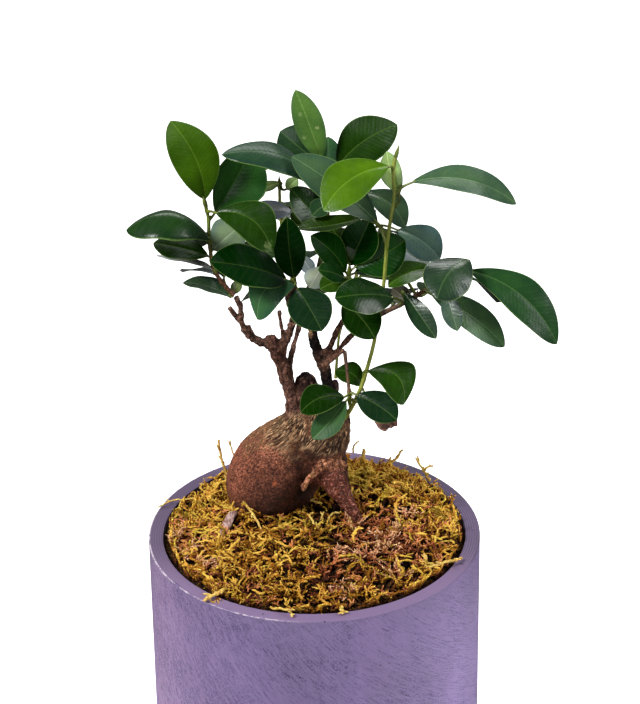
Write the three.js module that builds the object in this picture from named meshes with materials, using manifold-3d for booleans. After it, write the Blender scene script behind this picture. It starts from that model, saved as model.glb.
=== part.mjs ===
// A small-leaved fig grown as a bonsai: a swollen root with two thin trunks, leafy shoots, a mat of
// moss, soil and a straight cast pot. Millimetres, +Z up, -Y is the front, origin at the middle of
// the pot's foot.
import * as THREE from 'three';
import { mergeVertices } from 'three/addons/utils/BufferGeometryUtils.js';
import Module from 'manifold-3d';

const wasm = await Module();
wasm.setup();

// Driving dimensions
const potHeight = 140;
const potRadius = 75;
const potWall = 6.6;
const potFloor = 8;
const potBevel = 0.8;
const potSides = 48;
const seat = 0.3;
const rootClearance = 0.4;
const soilTop = 133;
const soilDome = 2;
const shoulderOut = 0.6;
const shoulderRise = 0.7;
const mossThickness = 5;
const mossDome = 6;
const mossRings = 6;
const hillTurns = { x: 0.23, y: 0.27 };
const ridgeTurns = { x: 0.11, y: 0.17 };
const ridgeShare = 0.6;
const mossCurls = 15;
const curlReach = 6.5;
const curlRadius = 1;
const curlTurning = 1.2;
const curlPlaces = [-1, -0.45, 0.1, 0.6, 1];
const curlHeights = [-2, 1.4, 2.6, 1.5, -1.6];
const goldenAngle = 2.39996;
const bladeThickness = 0.8;
const bladeRows = 5;
const smallBladeRows = 3;
const smallBlade = 16;
const widestShift = 1.2;
const bluntness = 0.7;
const foldCurve = 1.4;
const petioleRadius = 0.7;
const petioleDrop = 0.05;
const petioleGrip = 0.03;
const stemSamples = 60;
const thickLimb = 3;
const trunkSides = 8;
const twigSides = 5;
const thinSides = 4;
const bulbSides = 18;
const bulbSteps = 18;
const capShare = 0.499;
const broadSwelling = 0.025;
const narrowSwelling = 0.015;

// The swollen root, from its peg in the soil to its top: height, middle x and y, half-width, half-depth
const bulbSections = [
  [104, -15, 24, 4, 4],
  [120, -17, 24, 8, 8],
  [132, -19, 24, 12, 12],
  [138, -20, 24, 16, 15.5],
  [144, -20.5, 24, 19, 18],
  [150, -19.5, 24, 21, 20.5],
  [157, -17.5, 24, 22.5, 21.5],
  [164, -13.5, 24, 24, 21.5],
  [171, -9, 23.5, 24.5, 20.5],
  [178, -4.5, 23, 21.5, 19],
  [184, 0.3, 22, 17, 16],
  [189, 2.3, 21.5, 14.5, 13.5],
  [192, 2.5, 21, 11, 10],
  [193.5, 2, 21, 4, 4],
];

// Woody limbs that grew as one with the root: points as x, y, z and the limb's radius there
const limbs = {
  leftTrunk: [[-8.5, 20.5, 188.5, 3.9], [-9, 20.5, 193, 3.1], [-9.5, 20.5, 200, 3],
    [-11.5, 20.5, 207, 3.1], [-12.5, 20, 213, 3.2], [-14.5, 18.5, 219.5, 3.1], [-16.5, 17, 226, 3.2],
    [-18.5, 16, 231, 2.7]],
  leftBranch: [[-17.5, 16.5, 226.5, 2.2], [-22, 16, 228.5, 2], [-25.5, 15, 231, 1.9],
    [-28.5, 14, 235, 1.8], [-30.5, 13, 240, 1.4], [-30.5, 12, 245.5, 1.2], [-31.5, 11.5, 250, 1.2],
    [-33, 11, 253.5, 1.35]],
  leftFork: [[-30, 13.5, 239, 1.3], [-32.5, 13, 242, 1.1], [-34.5, 12.5, 245.5, 0.9],
    [-36, 12, 248, 0.9]],
  leftStub: [[-25.5, 15, 231.5, 1.2], [-27, 14.5, 236, 0.8], [-27.5, 14.5, 238.5, 0.9]],
  middleBranch: [[-13.5, 18.5, 221, 2], [-12, 17.5, 226.5, 1.8], [-9.5, 16, 234, 1.8], [-8, 15, 240, 1.7],
    [-9, 13.5, 246.5, 1.3], [-10, 12, 251.5, 1.2], [-8, 10.5, 257.5, 1.5]],
  brokenTwig: [[-13, 17.5, 226, 1.1], [-13, 16, 233.5, 0.8], [-13.5, 15, 239, 0.75],
    [-14, 14, 245, 0.95]],
  backLeftBranch: [[-10.5, 20, 210.5, 1.9], [-10, 23, 214.5, 1.2], [-9, 26, 218, 1.15],
    [-7.5, 30, 222, 1.1], [-6, 34, 225, 1.15], [-5.5, 38, 226, 1.1]],
  cutStump: [[-0.5, 22, 189.5, 7], [-1.5, 23, 197.5, 6.3], [-2.8, 24, 202.5, 5.6], [-4, 24, 207, 3.8]],
  rightTrunk: [[9.5, 20.5, 189.5, 4.4], [8.5, 20.5, 197.5, 3.2], [7, 20.5, 206, 2.7], [6, 20, 212, 2.6],
    [4, 20, 217.5, 2.5], [2, 19.5, 223, 2.3], [1, 18.5, 228.5, 2.05], [0.5, 17.5, 234, 2.1],
    [0.5, 16.5, 238, 2.1]],
  centreBranch: [[4.5, 19.5, 220, 1.8], [7.5, 18, 223.5, 1.4], [9.5, 15.5, 229, 1.35],
    [11, 13, 234.5, 1.35], [12.5, 11, 238.5, 1.35], [14, 8, 243, 1.15]],
  rightBranch: [[6, 19.5, 217, 1.6], [10, 17.5, 221.5, 1.15], [13.5, 16, 226, 1.15], [17, 15, 231, 1.15],
    [19.5, 14, 234, 1.15]],
  foldedRoot: [[13.5, 12, 167, 2.6], [10, 8, 170.5, 1.9], [6.5, 5, 172.5, 1.9], [3, 3, 172.5, 1.9],
    [0, 2, 169, 1.7], [-3, 2.5, 164.5, 1.4], [-5.5, 3.5, 160, 0.8]],
  backRightBranch: [[8.5, 24, 187.5, 2.4], [9.5, 27, 193, 1.6], [10.5, 29, 197.5, 1.2],
    [10.5, 30.5, 201.5, 0.95]],
  lowBranch: [[5.5, 18.5, 215.5, 1.5], [8, 16, 219, 1.35], [11, 13, 223, 1.3], [13, 11, 226, 1.2],
    [14.5, 9.5, 227, 1.1]],
  tallStub: [[9, 16, 182, 2.4], [12.3, 12.5, 188, 1.8], [14, 10.5, 192, 1.6]],
  frontRoot: [[4, 11, 167.5, 7.6], [8, 7, 164, 6.2], [11, 4.5, 160, 5.2], [14, 2.5, 155.5, 4],
    [17, 1, 150.5, 3], [20, 0, 145, 2.3], [22.5, 1, 132, 1.6]],
  backRoot: [[5, 25, 168, 10], [8, 26, 157, 8], [11, 28, 146, 6], [13, 30, 134, 4.5], [14, 31, 122, 2.5]],
};

// Directions that the upper side of a leaf can face
const toFront = [0, -0.88, 0.48];
const frontUp = [0, -0.6, 0.8];
const upFront = [0, -0.3, 0.95];
const straightUp = [0, 0, 1];
const upBack = [0, 0.3, 0.95];
const backUp = [0, 0.6, 0.8];
const rightUp = [0.6, 0.1, 0.8];
const leftUp = [-0.6, 0.1, 0.8];

// Leafy shoots. The stem's points are x, y, z and radius. A leaf is where its blade starts, where
// its tip is, its width, the way its upper side faces, how far it arches and folds up, and how far
// its midrib bows sideways, each as a share of its length or half-width.
const shoots = {
  shoot_left: {
    colour: 0x3b6b20,
    stem: [[-33.7, 10.6, 255, 1.2], [-37, 10, 259, 1.1], [-42, 8.5, 268.5, 1.05], [-43, 8, 276, 1],
      [-43.5, 7.5, 285, 0.95], [-43.5, 7, 293.5, 0.9], [-44.5, 6, 299.5, 0.8]],
    leaves: [
      [[-44.5, 6, 302.5], [-57.5, 0, 341.5], 20, toFront, 0.05, 0.1, 0.08],
      [[-42.5, 5, 284], [-78.5, 1, 291], 24, [0, -0.1, 1], 0.29, -0.5, 0],
      [[-44, 9, 274.5], [-68, 13, 279], 15, upFront, 0.04, 0, 0],
      [[-42.5, 8, 269], [-67.5, 26, 267], 11, upBack, 0.03, 0.05, 0],
      [[-41, 10, 265], [-56.5, 30, 257], 12, upBack, 0.06, 0.1, 0],
      [[-35, 10, 254], [-56, 18, 257.5], 13, straightUp, 0.08, 0.2, 0],
      [[-40.5, 9, 295], [-24.5, 21, 319.5], 25, [0.42, -0.89, 0.18], 0.04, 0.45, 0],
      [[-40, 1.5, 298.5], [-16, -14, 287], 19, frontUp, 0.12, 0.1, -0.17],
      [[-42.5, 13, 275.5], [-30.5, 22, 282.5], 17, toFront, 0.06, 0.1, 0],
      [[-34.5, 13.7, 253.4], [-31, 15.5, 259.2], 5, toFront, 0.04, 0.1, 0],
      [[-45, 13, 282], [-50, 44, 262], 17, upBack, 0.1, 0.1, 0],
      [[-38, 14, 262], [-34, 45, 247], 16, upBack, 0.1, 0.1, 0],
    ],
  },
  shoot_middle: {
    colour: 0x1b3d24,
    stem: [[-7.7, 10.2, 258.3, 1.5], [-7, 8.5, 260.5, 1.3], [-7.5, 7, 263.5, 1.1]],
    leaves: [
      [[-7, 5, 265], [-9.5, -8, 300], 14, [0.1, -0.95, 0.1], 0.05, 0.2, -0.02],
      [[-10, 4, 264.5], [-42.5, -14, 282.5], 21, frontUp, 0.08, 0.12, 0],
      [[-6.5, 4, 262.5], [-23, -14, 255], 17, toFront, 0.08, 0.1, 0.28],
      [[-6, 4, 261], [4.5, -18, 251], 19, frontUp, 0.08, 0.08, 0],
    ],
  },
  shoot_tall: {
    colour: 0x4f8020,
    stem: [[14.3, 10.2, 192.6, 1.1], [17.5, 8, 199.5, 1.15], [21.5, 5, 210.5, 1.1], [24.5, 3, 222, 1.05],
      [27.5, 1.5, 235.5, 1], [28.5, 0, 244.5, 1], [31.5, -4, 265.5, 0.95], [33, -8, 288, 0.95],
      [34.5, -9, 299.5, 0.95], [36, -9, 309.5, 0.9], [35.5, -9, 319.5, 0.85], [36, -9, 325.5, 1],
      [36.5, -9, 327.5, 0.9]],
    leaves: [
      [[24.5, 1, 221.5], [40, -14, 212.5], 17.5, frontUp, 0.06, 0.08, -0.3],
      [[22.5, 9, 209.5], [10.5, 14, 215], 11, frontUp, 0.06, 0.05, 0.16],
      [[29, -9, 297.5], [-7, 0, 324.5], 18, frontUp, 0.08, 0.12, 0],
      [[33.5, -11, 324.5], [6, -27, 311.5], 20, frontUp, 0.06, 0.08, 0.11],
      [[43, -9, 316], [87, -15, 308], 17, upFront, 0.17, 0.08, 0],
      [[38.5, -6, 309.5], [33, -3, 327.5], 9.5, toFront, 0.04, 0.2, -0.06],
      [[23, 0, 296], [-5, -3, 292.5], 9.5, upFront, 0.06, 0.35, -0.12],
    ],
  },
  shoot_centre: {
    colour: 0x24502a,
    stem: [[14.2, 7.7, 243.8, 1.1], [15, 5, 249.5, 1], [16, 3, 259, 0.95], [16.5, 1, 268, 0.9]],
    leaves: [
      [[17, 5, 271], [26, 5, 292.5], 17, [-0.2, -0.9, 0.3], 0.03, 0.25, 0],
      [[19, 4, 270.5], [41, 3, 283.5], 19, toFront, 0.03, 0.12, 0.05],
      [[19, 7, 266.5], [40.5, 11, 266.5], 14, upFront, 0.04, 0.1, 0],
      [[15, -3, 269], [3.5, -11, 276.5], 10.5, frontUp, 0.06, 0.1, 0],
      [[16, -1, 268], [4, -8, 266], 10, frontUp, 0.05, 0.15, 0],
      [[15.5, 1, 269.5], [0.5, -4, 289.5], 14, frontUp, 0.05, 0.15, 0.05],
      [[17, 4, 272], [10, 8, 287.5], 15, toFront, 0.06, 0.15, 0],
      [[14, 1, 255], [27.5, -13, 244.5], 17, frontUp, 0.08, 0.1, -0.04],
    ],
  },
  shoot_right: {
    colour: 0x2f5f2c,
    stem: [[20.1, 13.8, 234.6, 1.2], [30.5, 11, 244, 1.3], [39, 10, 249, 1.25], [45, 10.5, 252.5, 1.15],
      [52, 11, 256.5, 1.1], [59.5, 12, 259.5, 1], [67, 12, 262.5, 0.8]],
    leaves: [
      [[69, 6, 272.5], [54, -16, 264.5], 21.5, frontUp, 0.1, -0.25, 0.09],
      [[69, 10, 265.5], [107, -4, 236], 18.5, frontUp, 0.1, 0.05, -0.09],
      [[52.5, 6, 256], [84.5, 0, 233], 14.5, frontUp, 0.08, 0.08, -0.03],
      [[58.5, 5, 257.5], [63.5, -6, 244], 9, toFront, 0.06, 0.3, 0],
      [[40.5, 4, 258], [54, -10, 242.5], 9.5, toFront, 0.05, 0.2, 0],
      [[44, 12, 249], [35.5, 14, 255], 9, frontUp, 0.06, 0.05, 0],
      [[54, 1, 270.5], [33.5, -5.5, 265.5], 13, upFront, 0.06, 0.15, 0.1],
      [[36, -7, 261], [10.5, -20, 267.5], 18, frontUp, 0.1, -0.15, 0],
      [[39.5, 27, 268], [51.5, 19, 262.5], 14, frontUp, 0.05, 0.1, 0],
      [[66, 18, 258], [84, 46, 232], 18, [0.4, 0.3, 0.8], 0.08, 0.1, 0],
      [[50, 16, 251], [62, 48, 236], 18, upBack, 0.1, 0.1, 0],
      [[36, 16, 246], [42, 46, 238], 17, upBack, 0.1, 0.1, 0],
    ],
  },
  shoot_top: {
    colour: 0x2a5a26,
    stem: [[0.5, 16.2, 238.8, 1.9], [1, 16, 250, 1.6], [4, 16, 266, 1.4], [7, 15, 282, 1.2],
      [8, 13, 298, 1.1], [8, 12, 312, 0.9]],
    leaves: [
      [[4.5, 9, 304.5], [-36.5, 1, 325.5], 18, upFront, 0.22, -0.18, 0],
      [[8, 12, 285.5], [-8, 11, 305], 15, frontUp, 0.06, 0.1, -0.04],
      [[12, 12, 314], [37.5, 6, 336], 20, toFront, 0.05, 0.1, -0.07],
      [[5.5, 8, 319], [-5, 4, 353], 12.5, toFront, 0.03, 0.15, 0.01],
      [[4.5, 17, 313.5], [-12, 17, 329], 20, toFront, 0.05, 0.1, 0],
      [[8, 19, 308], [8.5, 21, 324.5], 11, toFront, 0.04, 0.1, 0],
      [[5, 12, 267], [-0.5, 8, 259], 10, toFront, 0.06, 0.1, 0],
      [[9.5, 3, 301.5], [1, -4, 298.5], 9, frontUp, 0.08, 0.2, 0.05],
      [[12, 20, 312], [18, 50, 300], 18, upBack, 0.1, 0.1, 0],
      [[4, 22, 306], [-22, 50, 296], 19, upBack, 0.1, 0.1, 0],
    ],
  },
  shoot_low: {
    colour: 0x1f4a30,
    stem: [[14.9, 9, 225.5, 0.85], [15.5, 7, 218.5, 0.85], [16, 5, 213.5, 0.85], [16.5, 4, 208, 1.1],
      [16.5, 4, 206, 0.7]],
    leaves: [
      [[14.5, 1, 208.5], [-5, -11, 207.5], 14.5, frontUp, 0.06, 0.05, 0.13],
      [[15, 0, 207], [0, -10, 193.5], 12, frontUp, 0.05, 0.1, -0.04],
      [[19.5, 2, 209], [37, -11, 203], 15, frontUp, 0.05, 0.05, -0.03],
      [[25.5, 4, 200.5], [37.5, 1, 193], 8, toFront, 0.08, 0.3, 0],
    ],
  },
  shoot_back_right: {
    colour: 0x24502a,
    stem: [[10.6, 30.8, 202.1, 0.9], [11.5, 33, 213, 0.75], [12.5, 35, 222, 0.75], [14.5, 37, 229, 0.8],
      [17.5, 41, 238.5, 1], [24, 42, 260, 1], [28, 37, 278, 0.9]],
    leaves: [
      [[23.5, 29, 295], [41.5, 13, 285], 13, frontUp, 0.06, 0.08, -0.12],
      [[38.5, 24, 279], [56.5, 12, 270], 16.5, frontUp, 0.06, 0.08, -0.06],
      [[22, 46, 246], [47, 66, 236], 20, rightUp, 0.1, 0.1, 0],
      [[24, 48, 258], [20, 80, 250], 19, backUp, 0.1, 0.1, 0],
      [[31, 43, 268], [48, 62, 255], 18, upBack, 0.1, 0.1, 0],
      [[14, 45, 238], [2, 72, 224], 18, backUp, 0.1, 0.1, 0],
      [[24, 42, 276], [14, 68, 282], 17, backUp, 0.1, 0.1, 0],
    ],
  },
  shoot_back_left: {
    colour: 0x24502a,
    stem: [[-5.9, 39, 227.4, 1.1], [-8, 46, 244, 1.1], [-12, 44, 268, 1.1], [-13, 36, 285.5, 0.9],
      [-13, 31, 295.5, 0.8], [-13, 30, 298, 0.8]],
    leaves: [
      [[-12.5, 29, 300], [-22, 25, 298], 5, frontUp, 0.04, 0.15, 0],
      [[-10, 28, 297], [-5, 27, 302.5], 6, toFront, 0.06, 0.2, 0],
      [[-7.5, 27, 287], [-25, 21, 290], 10, frontUp, 0.05, 0.05, 0],
      [[-3, 30, 279.5], [-8, 29, 285.5], 5.5, toFront, 0.04, 0.1, 0],
      [[-13, 47, 256], [-44, 60, 246], 20, leftUp, 0.1, 0.1, 0],
      [[-6, 50, 250], [4, 82, 240], 19, backUp, 0.1, 0.1, 0],
      [[-18, 46, 268], [-46, 56, 262], 19, leftUp, 0.1, 0.1, 0],
      [[-12, 48, 272], [-14, 78, 268], 19, backUp, 0.1, 0.1, 0],
      [[-10, 47, 242], [-32, 62, 226], 18, leftUp, 0.1, 0.1, 0],
      [[-4, 30, 264], [1, 25, 257.5], 6.5, toFront, 0.04, 0.1, 0],
    ],
  },
};

function seededRandom(seed) {
  let state = seed;
  return () => {
    state = (state * 1664525 + 1013904223) % 4294967296;
    return state / 4294967296;
  };
}

function solidOf(geometry) {
  const bare = geometry.clone();
  bare.deleteAttribute('normal');
  bare.deleteAttribute('uv');
  const merged = mergeVertices(bare, 1e-4);
  return new wasm.Manifold(new wasm.Mesh({
    numProp: 3,
    vertProperties: merged.attributes.position.array,
    triVerts: merged.index.array,
  }));
}

function meshOf(name, solid, colour, roughness) {
  const { vertProperties, triVerts } = solid.getMesh();
  const geometry = new THREE.BufferGeometry();
  geometry.setAttribute('position', new THREE.BufferAttribute(vertProperties, 3));
  geometry.setIndex(new THREE.BufferAttribute(triVerts, 1));
  geometry.computeVertexNormals();
  const material = new THREE.MeshStandardMaterial({ color: colour, roughness, metalness: 0 });
  const mesh = new THREE.Mesh(geometry, material);
  mesh.name = name;
  return mesh;
}

function fuse(solids) {
  return solids.reduce((whole, next) => whole.add(next));
}

// A round limb along a smooth curve, with a ring of corners at each of its points
function limb(points, sides, extra = 0) {
  const curve = new THREE.CatmullRomCurve3(points.map(([x, y, z]) => new THREE.Vector3(x, y, z)));
  const steps = points.length - 1;
  let across = new THREE.Vector3(0.8, 0.6, 0.05).normalize();
  const rings = points.map(([, , , radius], step) => {
    const along = curve.getTangent(step / steps);
    across = across.clone().addScaledVector(along, -across.dot(along)).normalize();
    const other = new THREE.Vector3().crossVectors(across, along);
    const end = step % steps === 0 ? extra * Math.sign(step - steps / 2) : 0;
    const middle = curve.getPoint(step / steps).addScaledVector(along, end);
    return { middle, across, other, radius: radius + extra };
  });
  const geometry = new THREE.CylinderGeometry(1, 1, 1, sides, steps);
  const position = geometry.attributes.position;
  for (let i = 0; i < position.count; i += 1) {
    const ring = rings[Math.round((position.getY(i) + 0.5) * steps)];
    const moved = ring.middle.clone()
      .addScaledVector(ring.across, position.getX(i) * ring.radius)
      .addScaledVector(ring.other, position.getZ(i) * ring.radius);
    position.setXYZ(i, moved.x, moved.y, moved.z);
  }
  return solidOf(geometry);
}

// The swollen root: rings of its sections, with shallow lengthwise swellings
function bulb(extra = 0) {
  const places = new THREE.CatmullRomCurve3(bulbSections.map(([z, x, y]) => new THREE.Vector3(x, y, z)));
  const sizes = new THREE.CatmullRomCurve3(
    bulbSections.map(([, , , wide, deep]) => new THREE.Vector3(wide, deep, 0)),
  );
  const geometry = new THREE.CylinderGeometry(1, 1, 1, bulbSides, bulbSteps);
  geometry.rotateX(Math.PI / 2);
  const position = geometry.attributes.position;
  for (let i = 0; i < position.count; i += 1) {
    const place = position.getZ(i) + 0.5;
    const middle = places.getPoint(place);
    const size = sizes.getPoint(place);
    const angle = Math.atan2(position.getY(i), position.getX(i));
    const swelling = 1 + broadSwelling * Math.sin(3 * angle + 5 * place)
      + narrowSwelling * Math.sin(7 * angle);
    position.setXYZ(
      i,
      middle.x + position.getX(i) * (size.x * swelling + extra),
      middle.y + position.getY(i) * (size.y * swelling + extra),
      middle.z + (Math.abs(place - 0.5) > capShare ? extra * Math.sign(place - 0.5) : 0),
    );
  }
  return solidOf(geometry);
}

function wood(extra = 0) {
  const grown = Object.values(limbs).map((points) => {
    const sides = points[0][3] > thickLimb ? trunkSides : twigSides;
    return limb(points, sides, extra);
  });
  return fuse([bulb(extra), ...grown]);
}

// Closes a curved sheet into a slab: both faces split alike, and walls round its edge
function slab(sheet, facing, thickness) {
  const position = sheet.attributes.position;
  const count = position.count;
  const vertices = [];
  for (const side of [0.5, -0.5]) {
    for (let i = 0; i < count; i += 1) {
      const point = new THREE.Vector3().fromBufferAttribute(position, i);
      vertices.push(...point.addScaledVector(facing, side * thickness));
    }
  }
  const faces = [];
  const edges = new Map();
  const index = sheet.index.array;
  for (let i = 0; i < index.length; i += 3) {
    const corners = [index[i], index[i + 1], index[i + 2]];
    faces.push(...corners, corners[0] + count, corners[2] + count, corners[1] + count);
    corners.forEach((from, turn) => {
      const to = corners[(turn + 1) % 3];
      edges.set(`${from} ${to}`, [from, to]);
    });
  }
  for (const [from, to] of edges.values()) {
    if (!edges.has(`${to} ${from}`)) {
      faces.push(to, from, from + count, to, from + count, to + count);
    }
  }
  return new wasm.Manifold(new wasm.Mesh({
    numProp: 3,
    vertProperties: new Float32Array(vertices),
    triVerts: new Uint32Array(faces),
  }));
}

// A leaf's own directions: along its midrib, out of its upper side, and across
function leafFrame(base, tip, face) {
  const start = new THREE.Vector3(...base);
  const along = new THREE.Vector3(...tip).sub(start);
  const length = along.length();
  along.normalize();
  const upper = new THREE.Vector3(...face);
  upper.addScaledVector(along, -upper.dot(along)).normalize();
  const across = new THREE.Vector3().crossVectors(along, upper);
  return { start, along, length, upper, across };
}

// The half-width of a blade over its length: a wedge at the base, widest past the middle, blunt tip
function halfWidth(place, width) {
  const shifted = place ** widestShift;
  return Math.max(width / 2 * (4 * shifted * (1 - shifted)) ** bluntness, petioleRadius);
}

function blade([base, tip, width, face, arch, fold, bow]) {
  const { start, along, length, upper, across } = leafFrame(base, tip, face);
  const sheet = new THREE.PlaneGeometry(2, 1, 2, length < smallBlade ? smallBladeRows : bladeRows);
  const position = sheet.attributes.position;
  for (let i = 0; i < position.count; i += 1) {
    const place = 0.5 - 0.5 * Math.cos(Math.PI * (position.getY(i) + 0.5));
    const side = position.getX(i);
    const half = halfWidth(place, width);
    const belly = 4 * length * place * (1 - place);
    const rise = arch * belly + fold * half * Math.abs(side) ** foldCurve;
    const point = start.clone()
      .addScaledVector(along, length * place)
      .addScaledVector(across, half * side + bow * belly)
      .addScaledVector(upper, rise);
    position.setXYZ(i, point.x, point.y, point.z);
  }
  return slab(sheet, upper, bladeThickness);
}

// The leaf's stalk: from the stem a little below the leaf, curving into the blade's midrib
function petiole([base, tip, , face, arch], stem) {
  const { start, along, length, upper } = leafFrame(base, tip, face);
  const heading = along.clone().addScaledVector(upper, 4 * arch).normalize();
  const curve = new THREE.CatmullRomCurve3(stem.map(([x, y, z]) => new THREE.Vector3(x, y, z)));
  const reach = curve.getPoints(stemSamples).map((point) => point.distanceTo(start));
  const nearest = reach.indexOf(Math.min(...reach)) / stemSamples;
  const root = curve.getPoint(Math.max(nearest - petioleDrop, petioleDrop / 2));
  const bend = start.clone().addScaledVector(heading, -root.distanceTo(start) / 2);
  const knee = root.clone().lerp(bend, 0.6).lerp(start, 0.3);
  const end = start.clone().addScaledVector(heading, length * petioleGrip);
  const points = [root, knee, end];
  return limb(points.map((point) => [point.x, point.y, point.z, petioleRadius]), thinSides);
}

function shoot({ stem, leaves }) {
  const parts = leaves.flatMap((leaf) => [petiole(leaf, stem), blade(leaf)]);
  return fuse([limb(stem, twigSides), ...parts]);
}

function pot() {
  const inside = potRadius - potWall;
  const profile = [
    [0, 0], [potRadius - potBevel, 0], [potRadius, potBevel], [potRadius, potHeight - potBevel],
    [potRadius - potBevel, potHeight], [inside + potBevel, potHeight], [inside, potHeight - potBevel],
    [inside, potFloor], [0, potFloor],
  ];
  return new THREE.LatheGeometry(profile.map(([r, z]) => new THREE.Vector2(r, z)), potSides)
    .rotateX(Math.PI / 2);
}

// The soil fills the pot up to a low dome
function soil() {
  const reach = potRadius - potWall - seat;
  const profile = [
    [0, potFloor + seat], [reach, potFloor + seat], [reach, soilTop],
    [reach * shoulderOut, soilTop + soilDome * shoulderRise], [0, soilTop + soilDome],
  ];
  return new THREE.LatheGeometry(profile.map(([r, z]) => new THREE.Vector2(r, z)), potSides / 2)
    .rotateX(Math.PI / 2);
}

function mossHeight(x, y) {
  const fall = (x * x + y * y) / (potRadius * potRadius);
  const hills = Math.sin(x * hillTurns.x + 1) * Math.cos(y * hillTurns.y);
  const ridges = ridgeShare * Math.sin(x * ridgeTurns.x - y * ridgeTurns.y);
  const lumps = (hills + ridges) * (1 - fall * ridgeShare);
  return soilTop + seat + mossThickness + mossDome * (1 - fall) + lumps;
}

// The moss mat, a lumpy cushion over the soil, with curled strands that stand out of it
function moss() {
  const reach = potRadius - potWall - seat;
  const under = [
    [0, soilTop + soilDome + seat],
    [reach * shoulderOut, soilTop + soilDome * shoulderRise + seat],
  ];
  const profile = [...under, [reach, soilTop + seat]];
  for (let ring = 0; ring <= mossRings; ring += 1) {
    profile.push([reach * (1 - ring / mossRings), potHeight]);
  }
  const geometry = new THREE.LatheGeometry(profile.map(([r, z]) => new THREE.Vector2(r, z)), potSides / 2)
    .rotateX(Math.PI / 2);
  const position = geometry.attributes.position;
  for (let i = 0; i < position.count; i += 1) {
    if (Math.abs(position.getZ(i) - potHeight) < 0.01) {
      position.setZ(i, mossHeight(position.getX(i), position.getY(i)));
    }
  }
  const random = seededRandom(7);
  const strands = Array.from({ length: mossCurls }, (_, turn) => {
    const out = (reach - curlReach) * Math.sqrt((turn + 0.5) / mossCurls);
    const heading = random() * Math.PI * 2;
    const turning = (random() - 0.5) * curlTurning;
    const points = curlPlaces.map((place, i) => {
      const direction = heading + turning * place;
      const x = out * Math.cos(turn * goldenAngle) + curlReach * place * Math.cos(direction);
      const y = out * Math.sin(turn * goldenAngle) + curlReach * place * Math.sin(direction);
      const shrink = Math.min(1, (reach - 2 * curlRadius) / Math.hypot(x, y));
      const height = mossHeight(x * shrink, y * shrink) + curlHeights[i];
      return [x * shrink, y * shrink, height, curlRadius];
    });
    return limb(points, thinSides);
  });
  return fuse([solidOf(geometry), ...strands]);
}

const clearance = wood(rootClearance);
const bonsai = new THREE.Group();
bonsai.name = 'bonsai';
bonsai.add(
  meshOf('pot', solidOf(pot()), 0x8b76a8, 0.85),
  meshOf('soil', solidOf(soil()).subtract(clearance), 0x2e2118, 0.95),
  meshOf('moss', moss().subtract(clearance), 0x8a7426, 0.95),
  meshOf('trunk', wood(), 0x7a5a48, 0.8),
);
for (const [name, { colour, stem, leaves }] of Object.entries(shoots)) {
  bonsai.add(meshOf(name, shoot({ stem, leaves }), colour, 0.35));
}

export default bonsai;
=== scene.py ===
# %% [markdown]
# # A small fig grown as a bonsai
# The CAD model holds every piece at its real size: pot, soil, moss, one woody tree and nine leafy
# shoots. Here each of them gets the surface of the real one. The tree's places are repeated from
# the CAD source in millimetres, and `MM` turns them into Blender's metres.

# %% Load the frame
import math
import bpy
import numpy as np
from mathutils import Matrix, Vector, noise


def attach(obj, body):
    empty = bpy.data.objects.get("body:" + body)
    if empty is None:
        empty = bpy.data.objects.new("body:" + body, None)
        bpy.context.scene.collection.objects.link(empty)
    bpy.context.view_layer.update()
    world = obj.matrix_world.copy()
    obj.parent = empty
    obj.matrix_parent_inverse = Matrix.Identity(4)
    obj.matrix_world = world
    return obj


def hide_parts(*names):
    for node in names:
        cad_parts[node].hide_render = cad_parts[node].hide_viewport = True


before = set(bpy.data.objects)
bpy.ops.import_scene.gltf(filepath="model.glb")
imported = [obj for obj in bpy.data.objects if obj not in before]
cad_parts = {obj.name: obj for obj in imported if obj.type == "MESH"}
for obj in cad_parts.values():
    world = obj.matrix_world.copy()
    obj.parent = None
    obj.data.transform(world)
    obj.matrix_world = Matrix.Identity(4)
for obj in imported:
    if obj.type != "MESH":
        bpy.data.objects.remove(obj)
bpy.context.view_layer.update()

MM = 0.001
BODY = "root"

# %% [markdown]
# ## Camera
# The photograph looks down on the pot's rim, which shows as an ellipse. The ratio of its axes
# gives the height of the view, and how much the front of the rim is larger than the back gives the
# distance. A long lens from more than a metre away keeps the pot's walls nearly parallel.

# %% Camera
VIEW_ELEVATION = math.radians(27.3)
VIEW_ROLL = math.radians(-0.8)
VIEW_DISTANCE = 1.2
VIEW_TARGET = Vector((0.0037, 0.0, 0.2315))
FOCAL_IN_FRAME_HEIGHTS = 2740 / 704
SENSOR = 36.0

view_back = Vector((0.0, -math.cos(VIEW_ELEVATION), math.sin(VIEW_ELEVATION)))
tilt = Matrix.Rotation(math.pi / 2 - VIEW_ELEVATION, 3, "X")
roll = Matrix.Rotation(VIEW_ROLL, 3, "Z")
bpy.ops.object.camera_add(
    location=VIEW_TARGET + view_back * VIEW_DISTANCE, rotation=(tilt @ roll).to_euler()
)
camera = bpy.context.object
camera.data.sensor_width = SENSOR
camera.data.lens = SENSOR * FOCAL_IN_FRAME_HEIGHTS
camera.data.clip_start = 0.05
bpy.context.scene.camera = camera
print("camera at", [round(value, 3) for value in camera.location], "lens", round(camera.data.lens, 1))

# %% [markdown]
# ## Floor and light
# A white studio background is only a pale floor that reaches far behind the object. It glows, so it
# stays white where the lamps don't reach, and it is hidden from reflections and bounced light. The
# lamps are soft boxes: the main one high at the front left, a weaker one at the right, a strip
# behind that edges the leaves, and a wide one low in front. Two small ones with a narrow spread
# graze the pot from its sides, and a faint white surrounding lifts the deepest shadows.

# %% Floor and light
FLOOR_REACH = 12.0
FLOOR_GLOW = 0.85
SURROUNDING_GLOW = 0.07
TREE_MIDDLE = (0.0, 0.0, 0.24)
POT_LEFT_AIM = (0.0, 0.0, 0.02)
POT_RIGHT_AIM = (0.0, 0.0, 0.065)
POT_SPREAD = math.radians(12)


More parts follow.
